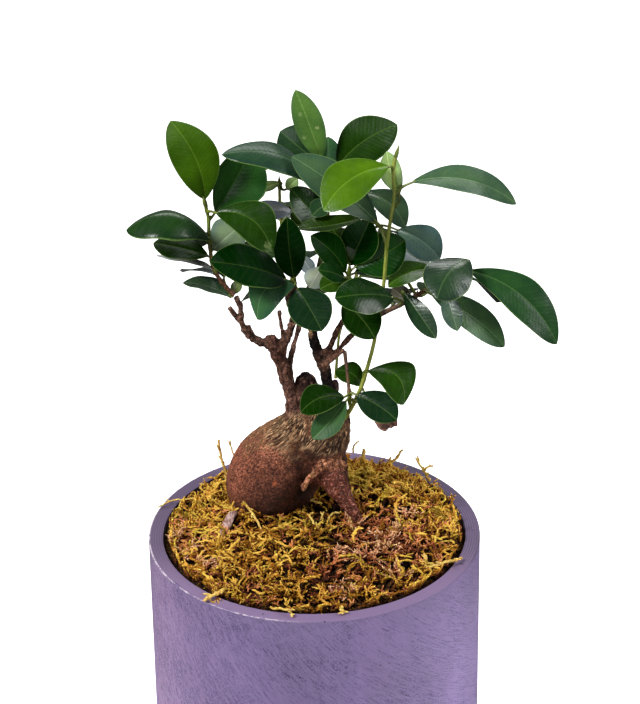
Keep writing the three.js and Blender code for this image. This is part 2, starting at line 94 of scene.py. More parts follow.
def principled(name, colour, roughness):
    material = bpy.data.materials.new(name)
    material.use_nodes = True
    shader = material.node_tree.nodes["Principled BSDF"]
    shader.inputs["Base Color"].default_value = (*colour, 1.0)
    shader.inputs["Roughness"].default_value = roughness
    return material, material.node_tree, shader


def soft_box(name, place, size, power, shine=1.0, aim=TREE_MIDDLE, spread=math.pi):
    heading = Vector(aim) - Vector(place)
    bpy.ops.object.light_add(
        type="AREA", location=place, rotation=heading.to_track_quat("-Z", "Y").to_euler()
    )
    light = bpy.context.object
    light.name = name
    light.data.shape = "RECTANGLE"
    light.data.size, light.data.size_y = size
    light.data.energy = power
    light.data.specular_factor = shine
    light.data.spread = spread


bpy.ops.mesh.primitive_plane_add(size=FLOOR_REACH)
floor = bpy.context.object
floor.name = "studio_floor"
floor_material, _, floor_shader = principled("pale_floor", (0.93, 0.93, 0.93), 0.9)
floor_shader.inputs["Emission Color"].default_value = (1.0, 1.0, 1.0, 1.0)
floor_shader.inputs["Emission Strength"].default_value = FLOOR_GLOW
floor.data.materials.append(floor_material)
floor.visible_glossy = False
floor.visible_diffuse = False

soft_box("front_left_box", (-0.8, -0.6, 1.2), (0.35, 0.35), 22)
soft_box("right_box", (1.0, -0.15, 0.9), (0.4, 0.7), 8, shine=0.3)
soft_box("back_strip", (0.1, 0.9, 1.25), (1.2, 0.4), 10)
soft_box("front_fill", (0.0, -1.5, 0.25), (1.6, 0.8), 8, shine=0.1)
soft_box("pot_left", (-1.3, -0.2, 0.1), (0.15, 0.1), 0.093, 0.1, POT_LEFT_AIM, POT_SPREAD)
soft_box("pot_right", (1.3, -0.2, 0.1), (0.15, 0.1), 0.12, 0.1, POT_RIGHT_AIM, POT_SPREAD)

world = bpy.data.worlds.new("white_surrounding")
world.use_nodes = True
world.node_tree.nodes["Background"].inputs["Color"].default_value = (1.0, 1.0, 1.0, 1.0)
world.node_tree.nodes["Background"].inputs["Strength"].default_value = SURROUNDING_GLOW
bpy.context.scene.world = world
bpy.context.scene.view_settings.view_transform = "Standard"

# %% [markdown]
# ## Small helpers
# Blender's operators work on what is selected, so everything is deselected before each step. A
# material is a chain of nodes: one helper adds a node with its values and links, and the others are
# short names for what the finishes here need again and again, such as a product, a smooth step, a
# noise, two tones mixed by a level, and thin coats laid over a colour. `shade` turns a colour as a
# screen shows it, from 0 to 255, into the linear numbers that Blender mixes.

# %% Helpers for objects
def deselect_all():
    if bpy.context.object and bpy.context.object.mode != "OBJECT":
        bpy.ops.object.mode_set(mode="OBJECT")
    bpy.ops.object.select_all(action="DESELECT")


def select_only(*objects):
    deselect_all()
    for piece in objects:
        piece.select_set(True)
    bpy.context.view_layer.objects.active = objects[0]


def join(objects, name):
    select_only(*objects)
    if len(objects) > 1:
        bpy.ops.object.join()
    objects[0].name = name
    objects[0].data.name = name
    return objects[0]


def apply_modifier(piece, kind, **settings):
    select_only(piece)
    bpy.ops.object.modifier_add(type=kind)
    modifier = piece.modifiers[-1]
    for key, value in settings.items():
        setattr(modifier, key, value)
    bpy.ops.object.modifier_apply(modifier=modifier.name)


def vertex_array(mesh):
    flat = np.empty(len(mesh.vertices) * 3, dtype=np.float64)
    mesh.vertices.foreach_get("co", flat)
    return flat.reshape(-1, 3)


def write_vertices(mesh, places):
    mesh.vertices.foreach_set("co", np.asarray(places, dtype=np.float64).ravel())
    mesh.update()


def write_colour(mesh, name, colours):
    layer = mesh.color_attributes.new(name=name, type="FLOAT_COLOR", domain="POINT")
    colours = np.asarray(colours, dtype=np.float64)
    alpha = np.ones((len(colours), 1))
    layer.data.foreach_set("color", np.hstack([colours[:, :3], alpha]).ravel())


def dress(piece, slot, *nodes):
    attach(piece, BODY)
    if nodes:
        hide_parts(*nodes)
    faces = sum(len(face.vertices) - 2 for face in piece.data.polygons)
    print(f"{piece.name}: {faces} triangles, stands for {list(nodes)}")


# %% Helpers for node materials
def add_node(tree, kind, inputs=None, **settings):
    node = tree.nodes.new(kind)
    for key, value in settings.items():
        setattr(node, key, value)
    for socket, value in (inputs or {}).items():
        if isinstance(value, bpy.types.NodeSocket):
            tree.links.new(value, node.inputs[socket])
        else:
            node.inputs[socket].default_value = value
    return node


def maths(tree, operation, first, second=0.0, third=0.0):
    node = add_node(tree, "ShaderNodeMath", {0: first, 1: second, 2: third}, operation=operation)
    return node.outputs[0]


def times(tree, first, second):
    return maths(tree, "MULTIPLY", first, second)


def times_plus(tree, first, second, added):
    return maths(tree, "MULTIPLY_ADD", first, second, added)


def inverse(tree, share):
    return maths(tree, "SUBTRACT", 1.0, share)


def ramp_between(tree, value, low, high):
    return add_node(
        tree, "ShaderNodeMapRange", {"Value": value, "From Min": low, "From Max": high},
        interpolation_type="SMOOTHSTEP",
    ).outputs["Result"]


def noise_value(tree, vector, scale, detail=4.0, roughness=0.55):
    return add_node(
        tree, "ShaderNodeTexNoise",
        {"Vector": vector, "Scale": scale, "Detail": detail, "Roughness": roughness},
    ).outputs["Fac"]


def object_place(tree):
    return add_node(tree, "ShaderNodeTexCoord").outputs["Object"]


def carried(tree, name, output="Fac"):
    return add_node(tree, "ShaderNodeAttribute", attribute_name=name).outputs[output]


def axes_of(tree, vector):
    parts = add_node(tree, "ShaderNodeSeparateXYZ", {"Vector": vector}).outputs
    return parts["X"], parts["Y"], parts["Z"]


def stretched(tree, vector, scale):
    return add_node(tree, "ShaderNodeMapping", {"Vector": vector, "Scale": scale}).outputs["Vector"]


# %% Helpers for colours and bumps
def blend_colour(tree, share, first, second, blend="MIX"):
    node = add_node(tree, "ShaderNodeMix", data_type="RGBA", blend_type=blend)
    for socket, value in ((0, share), (6, first), (7, second)):
        if isinstance(value, bpy.types.NodeSocket):
            tree.links.new(value, node.inputs[socket])
        elif socket == 0:
            node.inputs[socket].default_value = value
        else:
            node.inputs[socket].default_value = (*value, 1.0)
    return node.outputs[2]


def multiplied(tree, first, second):
    return blend_colour(tree, 1.0, first, second, "MULTIPLY")


def two_tones(tree, level, low, high, first, second):
    return blend_colour(tree, ramp_between(tree, level, low, high), first, second)


def varied(tree, colour, level, low, high, darker, lighter):
    return multiplied(tree, colour, two_tones(tree, level, low, high, darker, lighter))


def coats(tree, colour, *layers):
    for share, strength, coat in layers:
        colour = blend_colour(tree, times(tree, share, strength), colour, coat)
    return colour


def set_colour(tree, shader, colour):
    tree.links.new(colour, shader.inputs["Base Color"])


def bump(tree, shader, height, distance, strength=1.0):
    node = add_node(
        tree, "ShaderNodeBump", {"Height": height, "Distance": distance, "Strength": strength}
    )
    tree.links.new(node.outputs["Normal"], shader.inputs["Normal"])


def shade(red, green, blue):
    return np.array([(value / 255) ** 2.2 for value in (red, green, blue)])


print("the colour of a young stem:", np.round(shade(112, 128, 48), 3))

# %% [markdown]
# ## The pot
# The real pot is a cast cylinder painted lilac. Its flat rim has fine turned rings, its outside
# has long dark scratches that run down to the right, pin holes, and pale chips along the edge.
# A cylinder primitive is hollowed with insets and an extrusion, and its edges are bevelled.

# %% Pot: shape
POT_RADIUS = 75 * MM
POT_HEIGHT = 140 * MM
POT_WALL = 6.6 * MM
POT_FLOOR = 8 * MM
POT_SIDES = 192
POT_BEVEL = 0.5 * MM
RIM_RINGS = 12
RING_WIDTH = POT_WALL / RIM_RINGS
RING_DEPTH = 0.12 * MM


def select_faces(mesh, test):
    for face in mesh.polygons:
        face.select = test(face)
    for part in (mesh.vertices, mesh.edges):
        for item in part:
            item.select = False


deselect_all()
bpy.ops.mesh.primitive_cylinder_add(
    vertices=POT_SIDES, radius=POT_RADIUS, depth=POT_HEIGHT, location=(0, 0, POT_HEIGHT / 2)
)
pot = bpy.context.object
bpy.ops.object.transform_apply(location=True, rotation=True, scale=True)
select_faces(pot.data, lambda face: face.normal.z > 0.9)
bpy.ops.object.mode_set(mode="EDIT")
bpy.ops.mesh.select_mode(type="FACE")
for ring in range(RIM_RINGS):
    bpy.ops.mesh.inset(thickness=RING_WIDTH)
bpy.ops.mesh.extrude_region_move(TRANSFORM_OT_translate={"value": (0, 0, POT_FLOOR - POT_HEIGHT)})
bpy.ops.object.mode_set(mode="OBJECT")
places = vertex_array(pot.data)
radii = np.hypot(places[:, 0], places[:, 1])
ring_number = np.round((POT_RADIUS - radii) / RING_WIDTH).astype(int)
on_rim = places[:, 2] > POT_HEIGHT - 1e-6
grooved = on_rim & (ring_number % 2 == 1) & (ring_number < RIM_RINGS)
places[grooved, 2] -= RING_DEPTH
write_vertices(pot.data, places)
apply_modifier(
    pot, "BEVEL", width=POT_BEVEL, segments=3, limit_method="ANGLE", angle_limit=math.radians(60)
)
print("pot vertices:", len(pot.data.vertices))

# %% Pot: chips along the outer edge
CHIP_COUNT = 46
CHIP_SIZE = 0.9 * MM
CHIPPED_EDGE = 0.7 * MM
CHIP_SEED = 5
chip_chance = np.random.default_rng(CHIP_SEED)
chip_angles = np.radians(chip_chance.normal(-118, 24, CHIP_COUNT))
chip_depths = chip_chance.uniform(0.1, 0.45, CHIP_COUNT) * MM
places = vertex_array(pot.data)
angles = np.arctan2(places[:, 1], places[:, 0])
radii = np.hypot(places[:, 0], places[:, 1])
near_edge = (places[:, 2] > POT_HEIGHT - CHIPPED_EDGE) & (radii > POT_RADIUS - CHIPPED_EDGE)
for chip_angle, depth in zip(chip_angles, chip_depths):
    away = np.angle(np.exp(1j * (angles - chip_angle))) * POT_RADIUS
    share = near_edge * np.exp(-((away / CHIP_SIZE) ** 2))
    places[:, :2] *= (1 - share * depth / radii.clip(1e-4))[:, None]
    places[:, 2] -= share * depth
write_vertices(pot.data, places)
select_only(pot)
bpy.ops.object.shade_smooth_by_angle(angle=math.radians(35))
pot.name = "pot_cast"
print("chips along the rim:", CHIP_COUNT)

# %% [markdown]
# The scratches are noise that is stretched along helices. A helix on the pot is where the angle
# plus a multiple of the height stays the same, so the height turns the place round the axis
# before the noise is read. The multiple grows from left to right, as on the real pot. Under the
# scratches the lilac is paler at the left edge, painted light, and darker at the right one,
# painted shade.

# %% Pot: finish
def rim_colour(tree, patches, radial, depth):
    frontward = ramp_between(tree, depth, -8 * MM, -52 * MM)
    backward = times(tree, ramp_between(tree, depth, 52 * MM, 74 * MM), 0.7)
    # Painted light: the top of the rim has one colour all round, but it is painted lighter towards the back
    # and the front and darker at the sides.
    rim = blend_colour(tree, backward, (0.1, 0.068, 0.132), (0.24, 0.175, 0.31))
    rim = blend_colour(tree, frontward, rim, (0.202, 0.136, 0.256))
    ring = maths(tree, "PINGPONG", times_plus(tree, patches, 0.25 * MM, radial), RING_WIDTH)
    ring = inverse(tree, ramp_between(tree, ring, 0.08 * MM, 0.3 * MM))
    ring = times(tree, ring, inverse(tree, frontward))
    return coats(tree, rim, (ring, 0.8, (0.045, 0.03, 0.065)))


def slanting_scratches(tree, place, across, height, patches, grain):
    steepness = times_plus(tree, across, 110.0, 14.0)
    turn = times(tree, steepness, maths(tree, "SUBTRACT", height, 0.1))
    turned = add_node(
        tree, "ShaderNodeVectorRotate", {"Vector": place, "Angle": turn}, rotation_type="Z_AXIS"
    ).outputs["Vector"]
    streaks = noise_value(tree, stretched(tree, turned, (1.0, 1.0, 0.1)), 2100.0, 3.0, 0.65)
    broad = noise_value(tree, stretched(tree, turned, (1.0, 1.0, 0.12)), 150.0, 3.0)
    level = times_plus(tree, patches, 0.3, times(tree, streaks, 0.9))
    scratch = ramp_between(tree, level, 0.59, 0.665)
    return times(tree, scratch, ramp_between(tree, grain, 0.36, 0.56)), broad


def flaked_edge(tree, place, across, height, radial):
    on_edge = times(
        tree, ramp_between(tree, radial, POT_RADIUS - 0.75 * MM, POT_RADIUS - 0.45 * MM),
        ramp_between(tree, height, POT_HEIGHT - 0.8 * MM, POT_HEIGHT - 0.5 * MM))
    flaked = ramp_between(tree, noise_value(tree, place, 520.0, 5.0, 0.75), 0.4, 0.5)
    flaked = times(tree, flaked, ramp_between(tree, across, 0.0, -28 * MM))
    return times(tree, flaked, on_edge)


def pot_finish():
    material, tree, shader = principled("cast_lilac", (0.25, 0.18, 0.40), 0.72)
    place = object_place(tree)
    across, depth, height = axes_of(tree, place)
    patches = noise_value(tree, place, 28.0)
    grain = noise_value(tree, place, 1400.0, 2.0)
    scratch, broad = slanting_scratches(tree, place, across, height, patches, grain)
    top = ramp_between(tree, height, POT_HEIGHT - 0.9 * MM, POT_HEIGHT - 0.3 * MM)
    scratch = times(tree, scratch, inverse(tree, top))
    holes = add_node(
        tree, "ShaderNodeTexVoronoi", {"Vector": place, "Scale": 115.0}, feature="F1"
    ).outputs["Distance"]
    pin_hole = inverse(tree, ramp_between(tree, holes, 0.035, 0.075))
    radial = add_node(
        tree, "ShaderNodeVectorMath", {0: stretched(tree, place, (1.0, 1.0, 0.0))}, operation="LENGTH"
    ).outputs["Value"]
    opening = POT_RADIUS - POT_WALL
    inside = inverse(tree, ramp_between(tree, radial, opening - 0.1 * MM, opening + 0.3 * MM))
    body = coats(
        tree, two_tones(tree, broad, 0.3, 0.75, (0.243, 0.18, 0.358), (0.222, 0.164, 0.328)),
        # Painted light: the lilac is paler towards the left edge; painted shade: it is darker at the right
        # edge.
        (ramp_between(tree, across, -20 * MM, -72 * MM), 0.55, (0.27, 0.185, 0.315)),
        (ramp_between(tree, across, -54 * MM, -71 * MM), 0.8, (0.345, 0.24, 0.39)),
        (ramp_between(tree, across, 60 * MM, 75 * MM), 0.5, (0.09, 0.066, 0.12)),
        (grain, 0.25, (0.16, 0.11, 0.26)),
        (scratch, 0.9, (0.075, 0.052, 0.135)),
        (top, 0.9, rim_colour(tree, patches, radial, depth)),
        (flaked_edge(tree, place, across, height, radial), 0.85, (0.66, 0.58, 0.66)),
        # Painted shade: the inside of the wall is painted nearly black.
        (inside, 0.85, (0.03, 0.02, 0.035)),
        (pin_hole, 0.8, (0.03, 0.02, 0.05)),
    )
    set_colour(tree, shader, body)
    relief = times_plus(tree, scratch, -0.7, times(tree, grain, 0.35))
    bump(tree, shader, maths(tree, "SUBTRACT", relief, pin_hole), 0.25 * MM, 0.6)
    return material


pot.data.materials.clear()
pot.data.materials.append(pot_finish())
dress(pot, "cast_pot", "pot")

# %% [markdown]
# ## The soil
# Hardly any soil shows between the strands of moss, so its CAD solid stays and only gets a
# crumbly dark finish.

# %% Soil: finish
def soil_finish():
    material, tree, shader = principled("damp_soil", (0.02, 0.013, 0.008), 0.95)
    crumbs = noise_value(tree, object_place(tree), 420.0, 6.0, 0.7)
    set_colour(tree, shader, two_tones(tree, crumbs, 0.4, 0.7, (0.010, 0.006, 0.004), (0.055, 0.035, 0.02)))
    bump(tree, shader, crumbs, 1.2 * MM)
    return material


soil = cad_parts["soil"]
for material_slot in soil.material_slots:
    material_slot.material = soil_finish()
print("soil keeps its CAD solid:", soil.name)

# %% [markdown]
# ## Paths
# Stems, limbs and strands are all round and follow smooth paths. The points of a limb or a stem are
# given, and a Catmull-Rom curve runs through them. Its pulls follow the spacing of the points,
# so that it doesn't loop where two are close. One curve object holds many such paths as splines,
# each point with its own radius, and is then converted to a mesh.

# %% Paths
def smooth_path(points, per_span):
    points = np.asarray(points, dtype=float)
    places, radii = points[:, :3], points[:, 3]
    first = places[0] * 2 - places[1]
    last = places[-1] * 2 - places[-2]
    padded = np.vstack([first, places, last])
    path = []
    for span in range(len(places) - 1):
        corners = padded[span:span + 4]
        steps = np.linalg.norm(np.diff(corners, axis=0), axis=1).clip(1e-6) ** 0.5
        start_pull = ((corners[1] - corners[0]) / steps[0]
                      - (corners[2] - corners[0]) / (steps[0] + steps[1])
                      + (corners[2] - corners[1]) / steps[1]) * steps[1]
        end_pull = ((corners[2] - corners[1]) / steps[1]
                    - (corners[3] - corners[1]) / (steps[1] + steps[2])
                    + (corners[3] - corners[2]) / steps[2]) * steps[1]
        for step in range(per_span + (span == len(places) - 2)):
            share = step / per_span
            place = ((2 * share ** 3 - 3 * share ** 2 + 1) * corners[1]
                     + (share ** 3 - 2 * share ** 2 + share) * start_pull
                     + (3 * share ** 2 - 2 * share ** 3) * corners[2]
                     + (share ** 3 - share ** 2) * end_pull)
            path.append((*place, radii[span] * (1 - share) + radii[span + 1] * share))
    return np.array(path)


def tubes(name, paths, roundness=1):
    deselect_all()
    bpy.ops.curve.primitive_nurbs_path_add()
    curve = bpy.context.object
    curve.data.splines.clear()
    for path in paths:
        spline = curve.data.splines.new("POLY")
        spline.points.add(len(path) - 1)
        flat = np.hstack([path[:, :3] * MM, np.ones((len(path), 1))])
        spline.points.foreach_set("co", flat.ravel())
        spline.points.foreach_set("radius", path[:, 3] * MM)
    curve.data.dimensions = "3D"
    curve.data.twist_mode = "MINIMUM"
    curve.data.bevel_depth = 1.0
    curve.data.bevel_resolution = roundness
    curve.data.use_fill_caps = True
    select_only(curve)
    bpy.ops.object.convert(target="MESH")
    tube = bpy.context.object
    tube.name = name
    bpy.ops.object.shade_smooth()
    return tube


print("a test path has", len(smooth_path([(0, 0, 0, 1), (0, 0, 5, 1), (0, 3, 9, 0.5)], 6)), "points")

# %% [markdown]
# ## The woody tree
# The root is swollen like a pear that leans to the right, and trunks, twigs and side roots grow out
# of it without a seam. The bulb starts as a sphere whose rings are moved to measured sections, the
# limbs start as tubes, and a voxel remesh turns all of them into one skin. Smoothing then rounds
# the places where they meet, as growing wood does.

# %% Tree: the root's sections and the limbs, in millimetres
BULB_SECTIONS = [
    (104, -15, 24, 4, 4), (120, -17, 24, 8, 8), (132, -19, 24, 12, 12), (138, -20, 24, 16, 15.5),
    (144, -20.5, 24, 19, 18), (150, -19.5, 24, 21, 20.5), (157, -17.5, 24, 22.5, 21.5),
    (164, -13.5, 24, 24, 21.5), (171, -9, 23.5, 24.5, 20.5), (178, -4.5, 23, 21.5, 19),
    (184, 0.3, 22, 17, 16), (189, 2.3, 21.5, 14.5, 13.5), (192, 2.5, 21, 11, 10), (193.5, 2, 21, 4, 4),
]
LIMBS = {
    "left_trunk": [(-8.5, 20.5, 188.5, 3.9), (-9, 20.5, 193, 3.1), (-9.5, 20.5, 200, 3),
                   (-11.5, 20.5, 207, 3.1), (-12.5, 20, 213, 3.2), (-14.5, 18.5, 219.5, 3.1),
                   (-16.5, 17, 226, 3.2), (-18.5, 16, 231, 2.7)],
    "left_branch": [(-17.5, 16.5, 226.5, 2.2), (-22, 16, 228.5, 2), (-25.5, 15, 231, 1.9),
                    (-28.5, 14, 235, 1.8), (-30.5, 13, 240, 1.4), (-30.5, 12, 245.5, 1.2),
                    (-31.5, 11.5, 250, 1.2), (-33, 11, 253.5, 1.35)],
    "left_fork": [(-30, 13.5, 239, 1.3), (-32.5, 13, 242, 1.1), (-34.5, 12.5, 245.5, 0.9),
                  (-36, 12, 248, 0.9)],
    "left_stub": [(-25.5, 15, 231.5, 1.2), (-27, 14.5, 236, 0.8), (-27.5, 14.5, 238.5, 0.9)],
    "middle_branch": [(-13.5, 18.5, 221, 2), (-12, 17.5, 226.5, 1.8), (-9.5, 16, 234, 1.8),
                      (-8, 15, 240, 1.7), (-9, 13.5, 246.5, 1.3), (-10, 12, 251.5, 1.2),
                      (-8, 10.5, 257.5, 1.5)],
    "broken_twig": [(-13, 17.5, 226, 1.1), (-13, 16, 233.5, 0.8), (-13.5, 15, 239, 0.75),
                    (-14, 14, 245, 0.95)],
    "back_left_branch": [(-10.5, 20, 210.5, 1.9), (-10, 23, 214.5, 1.2), (-9, 26, 218, 1.15),
                         (-7.5, 30, 222, 1.1), (-6, 34, 225, 1.15), (-5.5, 38, 226, 1.1)],
    "cut_stump": [(-0.5, 22, 189.5, 7), (-1.5, 23, 197.5, 6.3), (-2.8, 24, 202.5, 5.6),
                  (-4, 24, 207, 3.8)],
    "right_trunk": [(9.5, 20.5, 189.5, 4.4), (8.5, 20.5, 197.5, 3.2), (7, 20.5, 206, 2.7),
                    (6, 20, 212, 2.6), (4, 20, 217.5, 2.5), (2, 19.5, 223, 2.3), (1, 18.5, 228.5, 2.05),
                    (0.5, 17.5, 234, 2.1), (0.5, 16.5, 238, 2.1)],
    "centre_branch": [(4.5, 19.5, 220, 1.8), (7.5, 18, 223.5, 1.4), (9.5, 15.5, 229, 1.35),
                      (11, 13, 234.5, 1.35), (12.5, 11, 238.5, 1.35), (14, 8, 243, 1.15)],
    "right_branch": [(6, 19.5, 217, 1.6), (10, 17.5, 221.5, 1.15), (13.5, 16, 226, 1.15),
                     (17, 15, 231, 1.15), (19.5, 14, 234, 1.15)],
    "folded_root": [(13.5, 12, 167, 2.6), (10, 8, 170.5, 1.9), (6.5, 5, 172.5, 1.9), (3, 3, 172.5, 1.9),
                    (0, 2, 169, 1.7), (-3, 2.5, 164.5, 1.4), (-5.5, 3.5, 160, 0.8)],
    "back_right_branch": [(8.5, 24, 187.5, 2.4), (9.5, 27, 193, 1.6), (10.5, 29, 197.5, 1.2),
                          (10.5, 30.5, 201.5, 0.95)],
    "low_branch": [(5.5, 18.5, 215.5, 1.5), (8, 16, 219, 1.35), (11, 13, 223, 1.3), (13, 11, 226, 1.2),
                   (14.5, 9.5, 227, 1.1)],
    "tall_stub": [(9, 16, 182, 2.4), (12.3, 12.5, 188, 1.8), (14, 10.5, 192, 1.6)],
    "front_root": [(4, 11, 167.5, 7.6), (8, 7, 164, 6.2), (11, 4.5, 160, 5.2), (14, 2.5, 155.5, 4),
                   (17, 1, 150.5, 3), (20, 0, 145, 2.3), (22.5, 1, 132, 1.6)],
    "back_root": [(5, 25, 168, 10), (8, 26, 157, 8), (11, 28, 146, 6), (13, 30, 134, 4.5),
                  (14, 31, 122, 2.5)],
}
print("limbs:", len(LIMBS))

# %% Tree: bulb and limbs as one skin
SKIN_VOXEL = 0.51 * MM
THIN_LIMB = 1.7
SMOOTHING_LOSS = 0.32
STEPS_PER_SECTION = 12
BULB_TOP = 193
section_middles = smooth_path([(x, y, z, 0) for z, x, y, _, _ in BULB_SECTIONS], STEPS_PER_SECTION)
section_sizes = smooth_path([(wide, deep, 0, 0) for *_, wide, deep in BULB_SECTIONS], STEPS_PER_SECTION)
section_steps = np.linspace(0, 1, len(section_middles))

deselect_all()
bpy.ops.mesh.primitive_uv_sphere_add(segments=128, ring_count=96, radius=1)
bulb = bpy.context.object
ball = vertex_array(bulb.data)
bulb_share = np.arccos(np.clip(-ball[:, 2], -1, 1)) / math.pi
bulb_angle = np.arctan2(ball[:, 1], ball[:, 0])
spread = np.minimum(1, np.hypot(ball[:, 0], ball[:, 1]) * 8)
swelling = 1 + 0.025 * np.sin(3 * bulb_angle + 5 * bulb_share) + 0.015 * np.sin(7 * bulb_angle)
middle = [np.interp(bulb_share, section_steps, section_middles[:, axis]) for axis in range(3)]
wide, deep = [np.interp(bulb_share, section_steps, section_sizes[:, axis]) for axis in range(2)]
ball[:, 0] = middle[0] + np.cos(bulb_angle) * wide * swelling * spread
ball[:, 1] = middle[1] + np.sin(bulb_angle) * deep * swelling * spread
ball[:, 2] = middle[2]
write_vertices(bulb.data, ball * MM)

limb_paths = {name: smooth_path(points, 8) for name, points in LIMBS.items()}
for path in limb_paths.values():
    path[:, 3] += SMOOTHING_LOSS * np.clip(THIN_LIMB - path[:, 3], 0, 1)
limb_tubes = tubes("limbs", limb_paths.values(), roundness=4)
trunk = join([bulb, limb_tubes], "trunk_skin")
apply_modifier(trunk, "REMESH", mode="VOXEL", voxel_size=SKIN_VOXEL)
apply_modifier(trunk, "SMOOTH", factor=0.5, iterations=8)
print("skin vertices:", len(trunk.data.vertices))

# %% [markdown]
# Every point of the skin now learns what it belongs to. For each limb the distance to its surface is
# measured, and the limbs that are close share the point between them. Relief and colour are then
# chosen by that share: fissured bark on top, a smooth reddish root below, rough dark bark on the
# trunks.

# %% Tree: what each point of the skin belongs to
def share_of(value, low, high):
    step = np.clip((value - low) / (high - low), 0, 1)
    return step * step * (3 - 2 * step)


def distance_to_path(places, path):
    return np.min(np.linalg.norm(places[:, None, :] - path[None, :, :3], axis=2) - path[:, 3], axis=1)


def rough(places, scales, octaves=3):
    stretched_places = places / np.asarray(scales, dtype=float)
    return np.array([noise.fractal(place, 1.0, 2.0, octaves) for place in stretched_places.tolist()])


SHARING_REACH = 0.9
skin = vertex_array(trunk.data) / MM
bulb_x = np.interp(skin[:, 2], section_middles[:, 2], section_middles[:, 0])
bulb_y = np.interp(skin[:, 2], section_middles[:, 2], section_middles[:, 1])
bulb_wide = np.interp(skin[:, 2], section_middles[:, 2], section_sizes[:, 0])
bulb_deep = np.interp(skin[:, 2], section_middles[:, 2], section_sizes[:, 1])
ring_share = np.hypot((skin[:, 0] - bulb_x) / bulb_wide, (skin[:, 1] - bulb_y) / bulb_deep)
bulb_distance = (ring_share - 1) * bulb_wide + np.maximum(0, skin[:, 2] - BULB_TOP) * 2
around = np.arctan2(skin[:, 1] - bulb_y, skin[:, 0] - bulb_x)
distances = {"bulb": bulb_distance}
for name, path in limb_paths.items():
    distances[name] = distance_to_path(skin, path)
closeness = {name: np.exp(-np.clip(value, -2, 12) / SHARING_REACH) for name, value in distances.items()}
closeness_sum = sum(closeness.values())
belongs = {name: value / closeness_sum for name, value in closeness.items()}
on_bulb = belongs["bulb"] + belongs["back_root"]
on_root = belongs["folded_root"] + belongs["front_root"]
on_limb = np.clip(1 - on_bulb - on_root, 0, 1)
print("points on limbs:", int((on_limb > 0.5).sum()), "of", len(skin))

# %% [markdown]
# The relief is a sum of noises of several sizes. Broad lumps are everywhere, and the share of ridges,
# knobs, grain and fissures differs from limb to limb. The ridges are read on a ruler that runs round
# the bulb, so that they stand upright on every side. One crease is pressed into the bulb's skin.

# %% Tree: relief
CREASE = smooth_path([(-5.8, 7.1, 183.6, 0), (-7.2, 4.6, 178.8, 0), (-6.4, 3.4, 173.8, 0),
                      (-4.7, 3.6, 167.5, 0), (-3.5, 5.8, 160, 0), (-3, 7, 152, 0), (-2, 9, 143, 0)], 6)
RULER_RADIUS = 24
CREASE_REACH = 2.6
BARK_FOOT = 174
along_bulb = np.column_stack([RULER_RADIUS * np.cos(around), RULER_RADIUS * np.sin(around), skin[:, 2]])
ridges = rough(along_bulb, (0.95, 0.95, 2.6), 2)
ridge_field = share_of(rough(skin + 40, (6.0, 6.0, 6.0), 2), -0.35, 0.25)
lumps = rough(skin, (9.0, 9.0, 9.0), 3)
grains = rough(skin, (0.85, 0.85, 0.85), 2)
knobs = rough(skin, (2.0, 2.0, 2.6), 2)
fissures = rough(skin, (1.3, 1.3, 4.0), 3)
bark_edge = skin[:, 2] + 3.0 * lumps + 0.12 * (skin[:, 0] + 15)
barky = share_of(bark_edge, BARK_FOOT, BARK_FOOT + 7)
collar = share_of(skin[:, 0] + 0.2 * (skin[:, 2] - 175), -9, -4) * barky
crease_distance = np.min(np.linalg.norm(skin[:, None] - CREASE[None, :, :3], axis=2), axis=1)
crease = np.exp(-((crease_distance / CREASE_REACH) ** 2)) * (1 + share_of(-skin[:, 2], -168, -155) * 1.6)
girth = share_of(sum(belongs[n] for n in ("left_trunk", "right_trunk", "cut_stump", "left_branch",
                                          "middle_branch")), 0.0, 0.6)
relief = 0.5 * lumps + on_bulb * (barky * ridge_field * 0.6 * ridges + 0.2 * grains)
relief += on_bulb * (0.25 * knobs * (0.4 + barky) + collar * 0.3 * fissures)
relief += on_limb * girth * (0.4 * fissures + 0.5 * knobs + 0.2 * grains)
relief += on_limb * (1 - girth) * (0.25 * knobs + 0.12 * grains)
relief += on_root * (0.35 * grains + 0.4 * knobs + 0.5 * belongs["folded_root"] * fissures)
relief -= 1.5 * crease * on_bulb
normals = np.empty(len(skin) * 3)
trunk.data.vertices.foreach_get("normal", normals)
skin_shaped = skin + normals.reshape(-1, 3) * relief[:, None]
write_vertices(trunk.data, skin_shaped * MM)
bpy.ops.object.shade_smooth()
print("relief from", round(relief.min(), 2), "to", round(relief.max(), 2), "mm")

# %% [markdown]
# The colours are painted on the points in thin layers, as on a model: a base for each limb, the
# lighter bark on top, painted shadow low on the root and towards its right, painted light on its
# left edge, and then spots, pores and cracks that follow the same noises as the relief, with
# painted highlights on knobs and ridges and painted shade in the crease.

# %% Tree: base colours of the bark
# The right trunk and the cut stump between the trunks have near-black bases: painted shade.
BARK_COLOURS = {
    "bulb": (116, 70, 54), "back_root": (112, 70, 54), "left_trunk": (98, 65, 54),
    "right_trunk": (18, 8, 6), "cut_stump": (46, 27, 22), "folded_root": (150, 92, 64),
    "front_root": (96, 50, 37), "low_branch": (160, 118, 98), "tall_stub": (110, 84, 60),
    "left_branch": (114, 86, 74), "back_right_branch": (52, 36, 32),
}
TWIG_COLOUR = (110, 80, 68)


def over(base, share, colour):
    share = np.clip(share, 0, 1)[:, None]
    return base * (1 - share) + colour * share


def painted(base, *layers):
    for share, colour in layers:
        base = over(base, share, shade(*colour))
    return base


def spot(across, height, wide, high):
    return np.exp(-(((skin[:, 0] - across) / wide) ** 2 + ((skin[:, 2] - height) / high) ** 2))


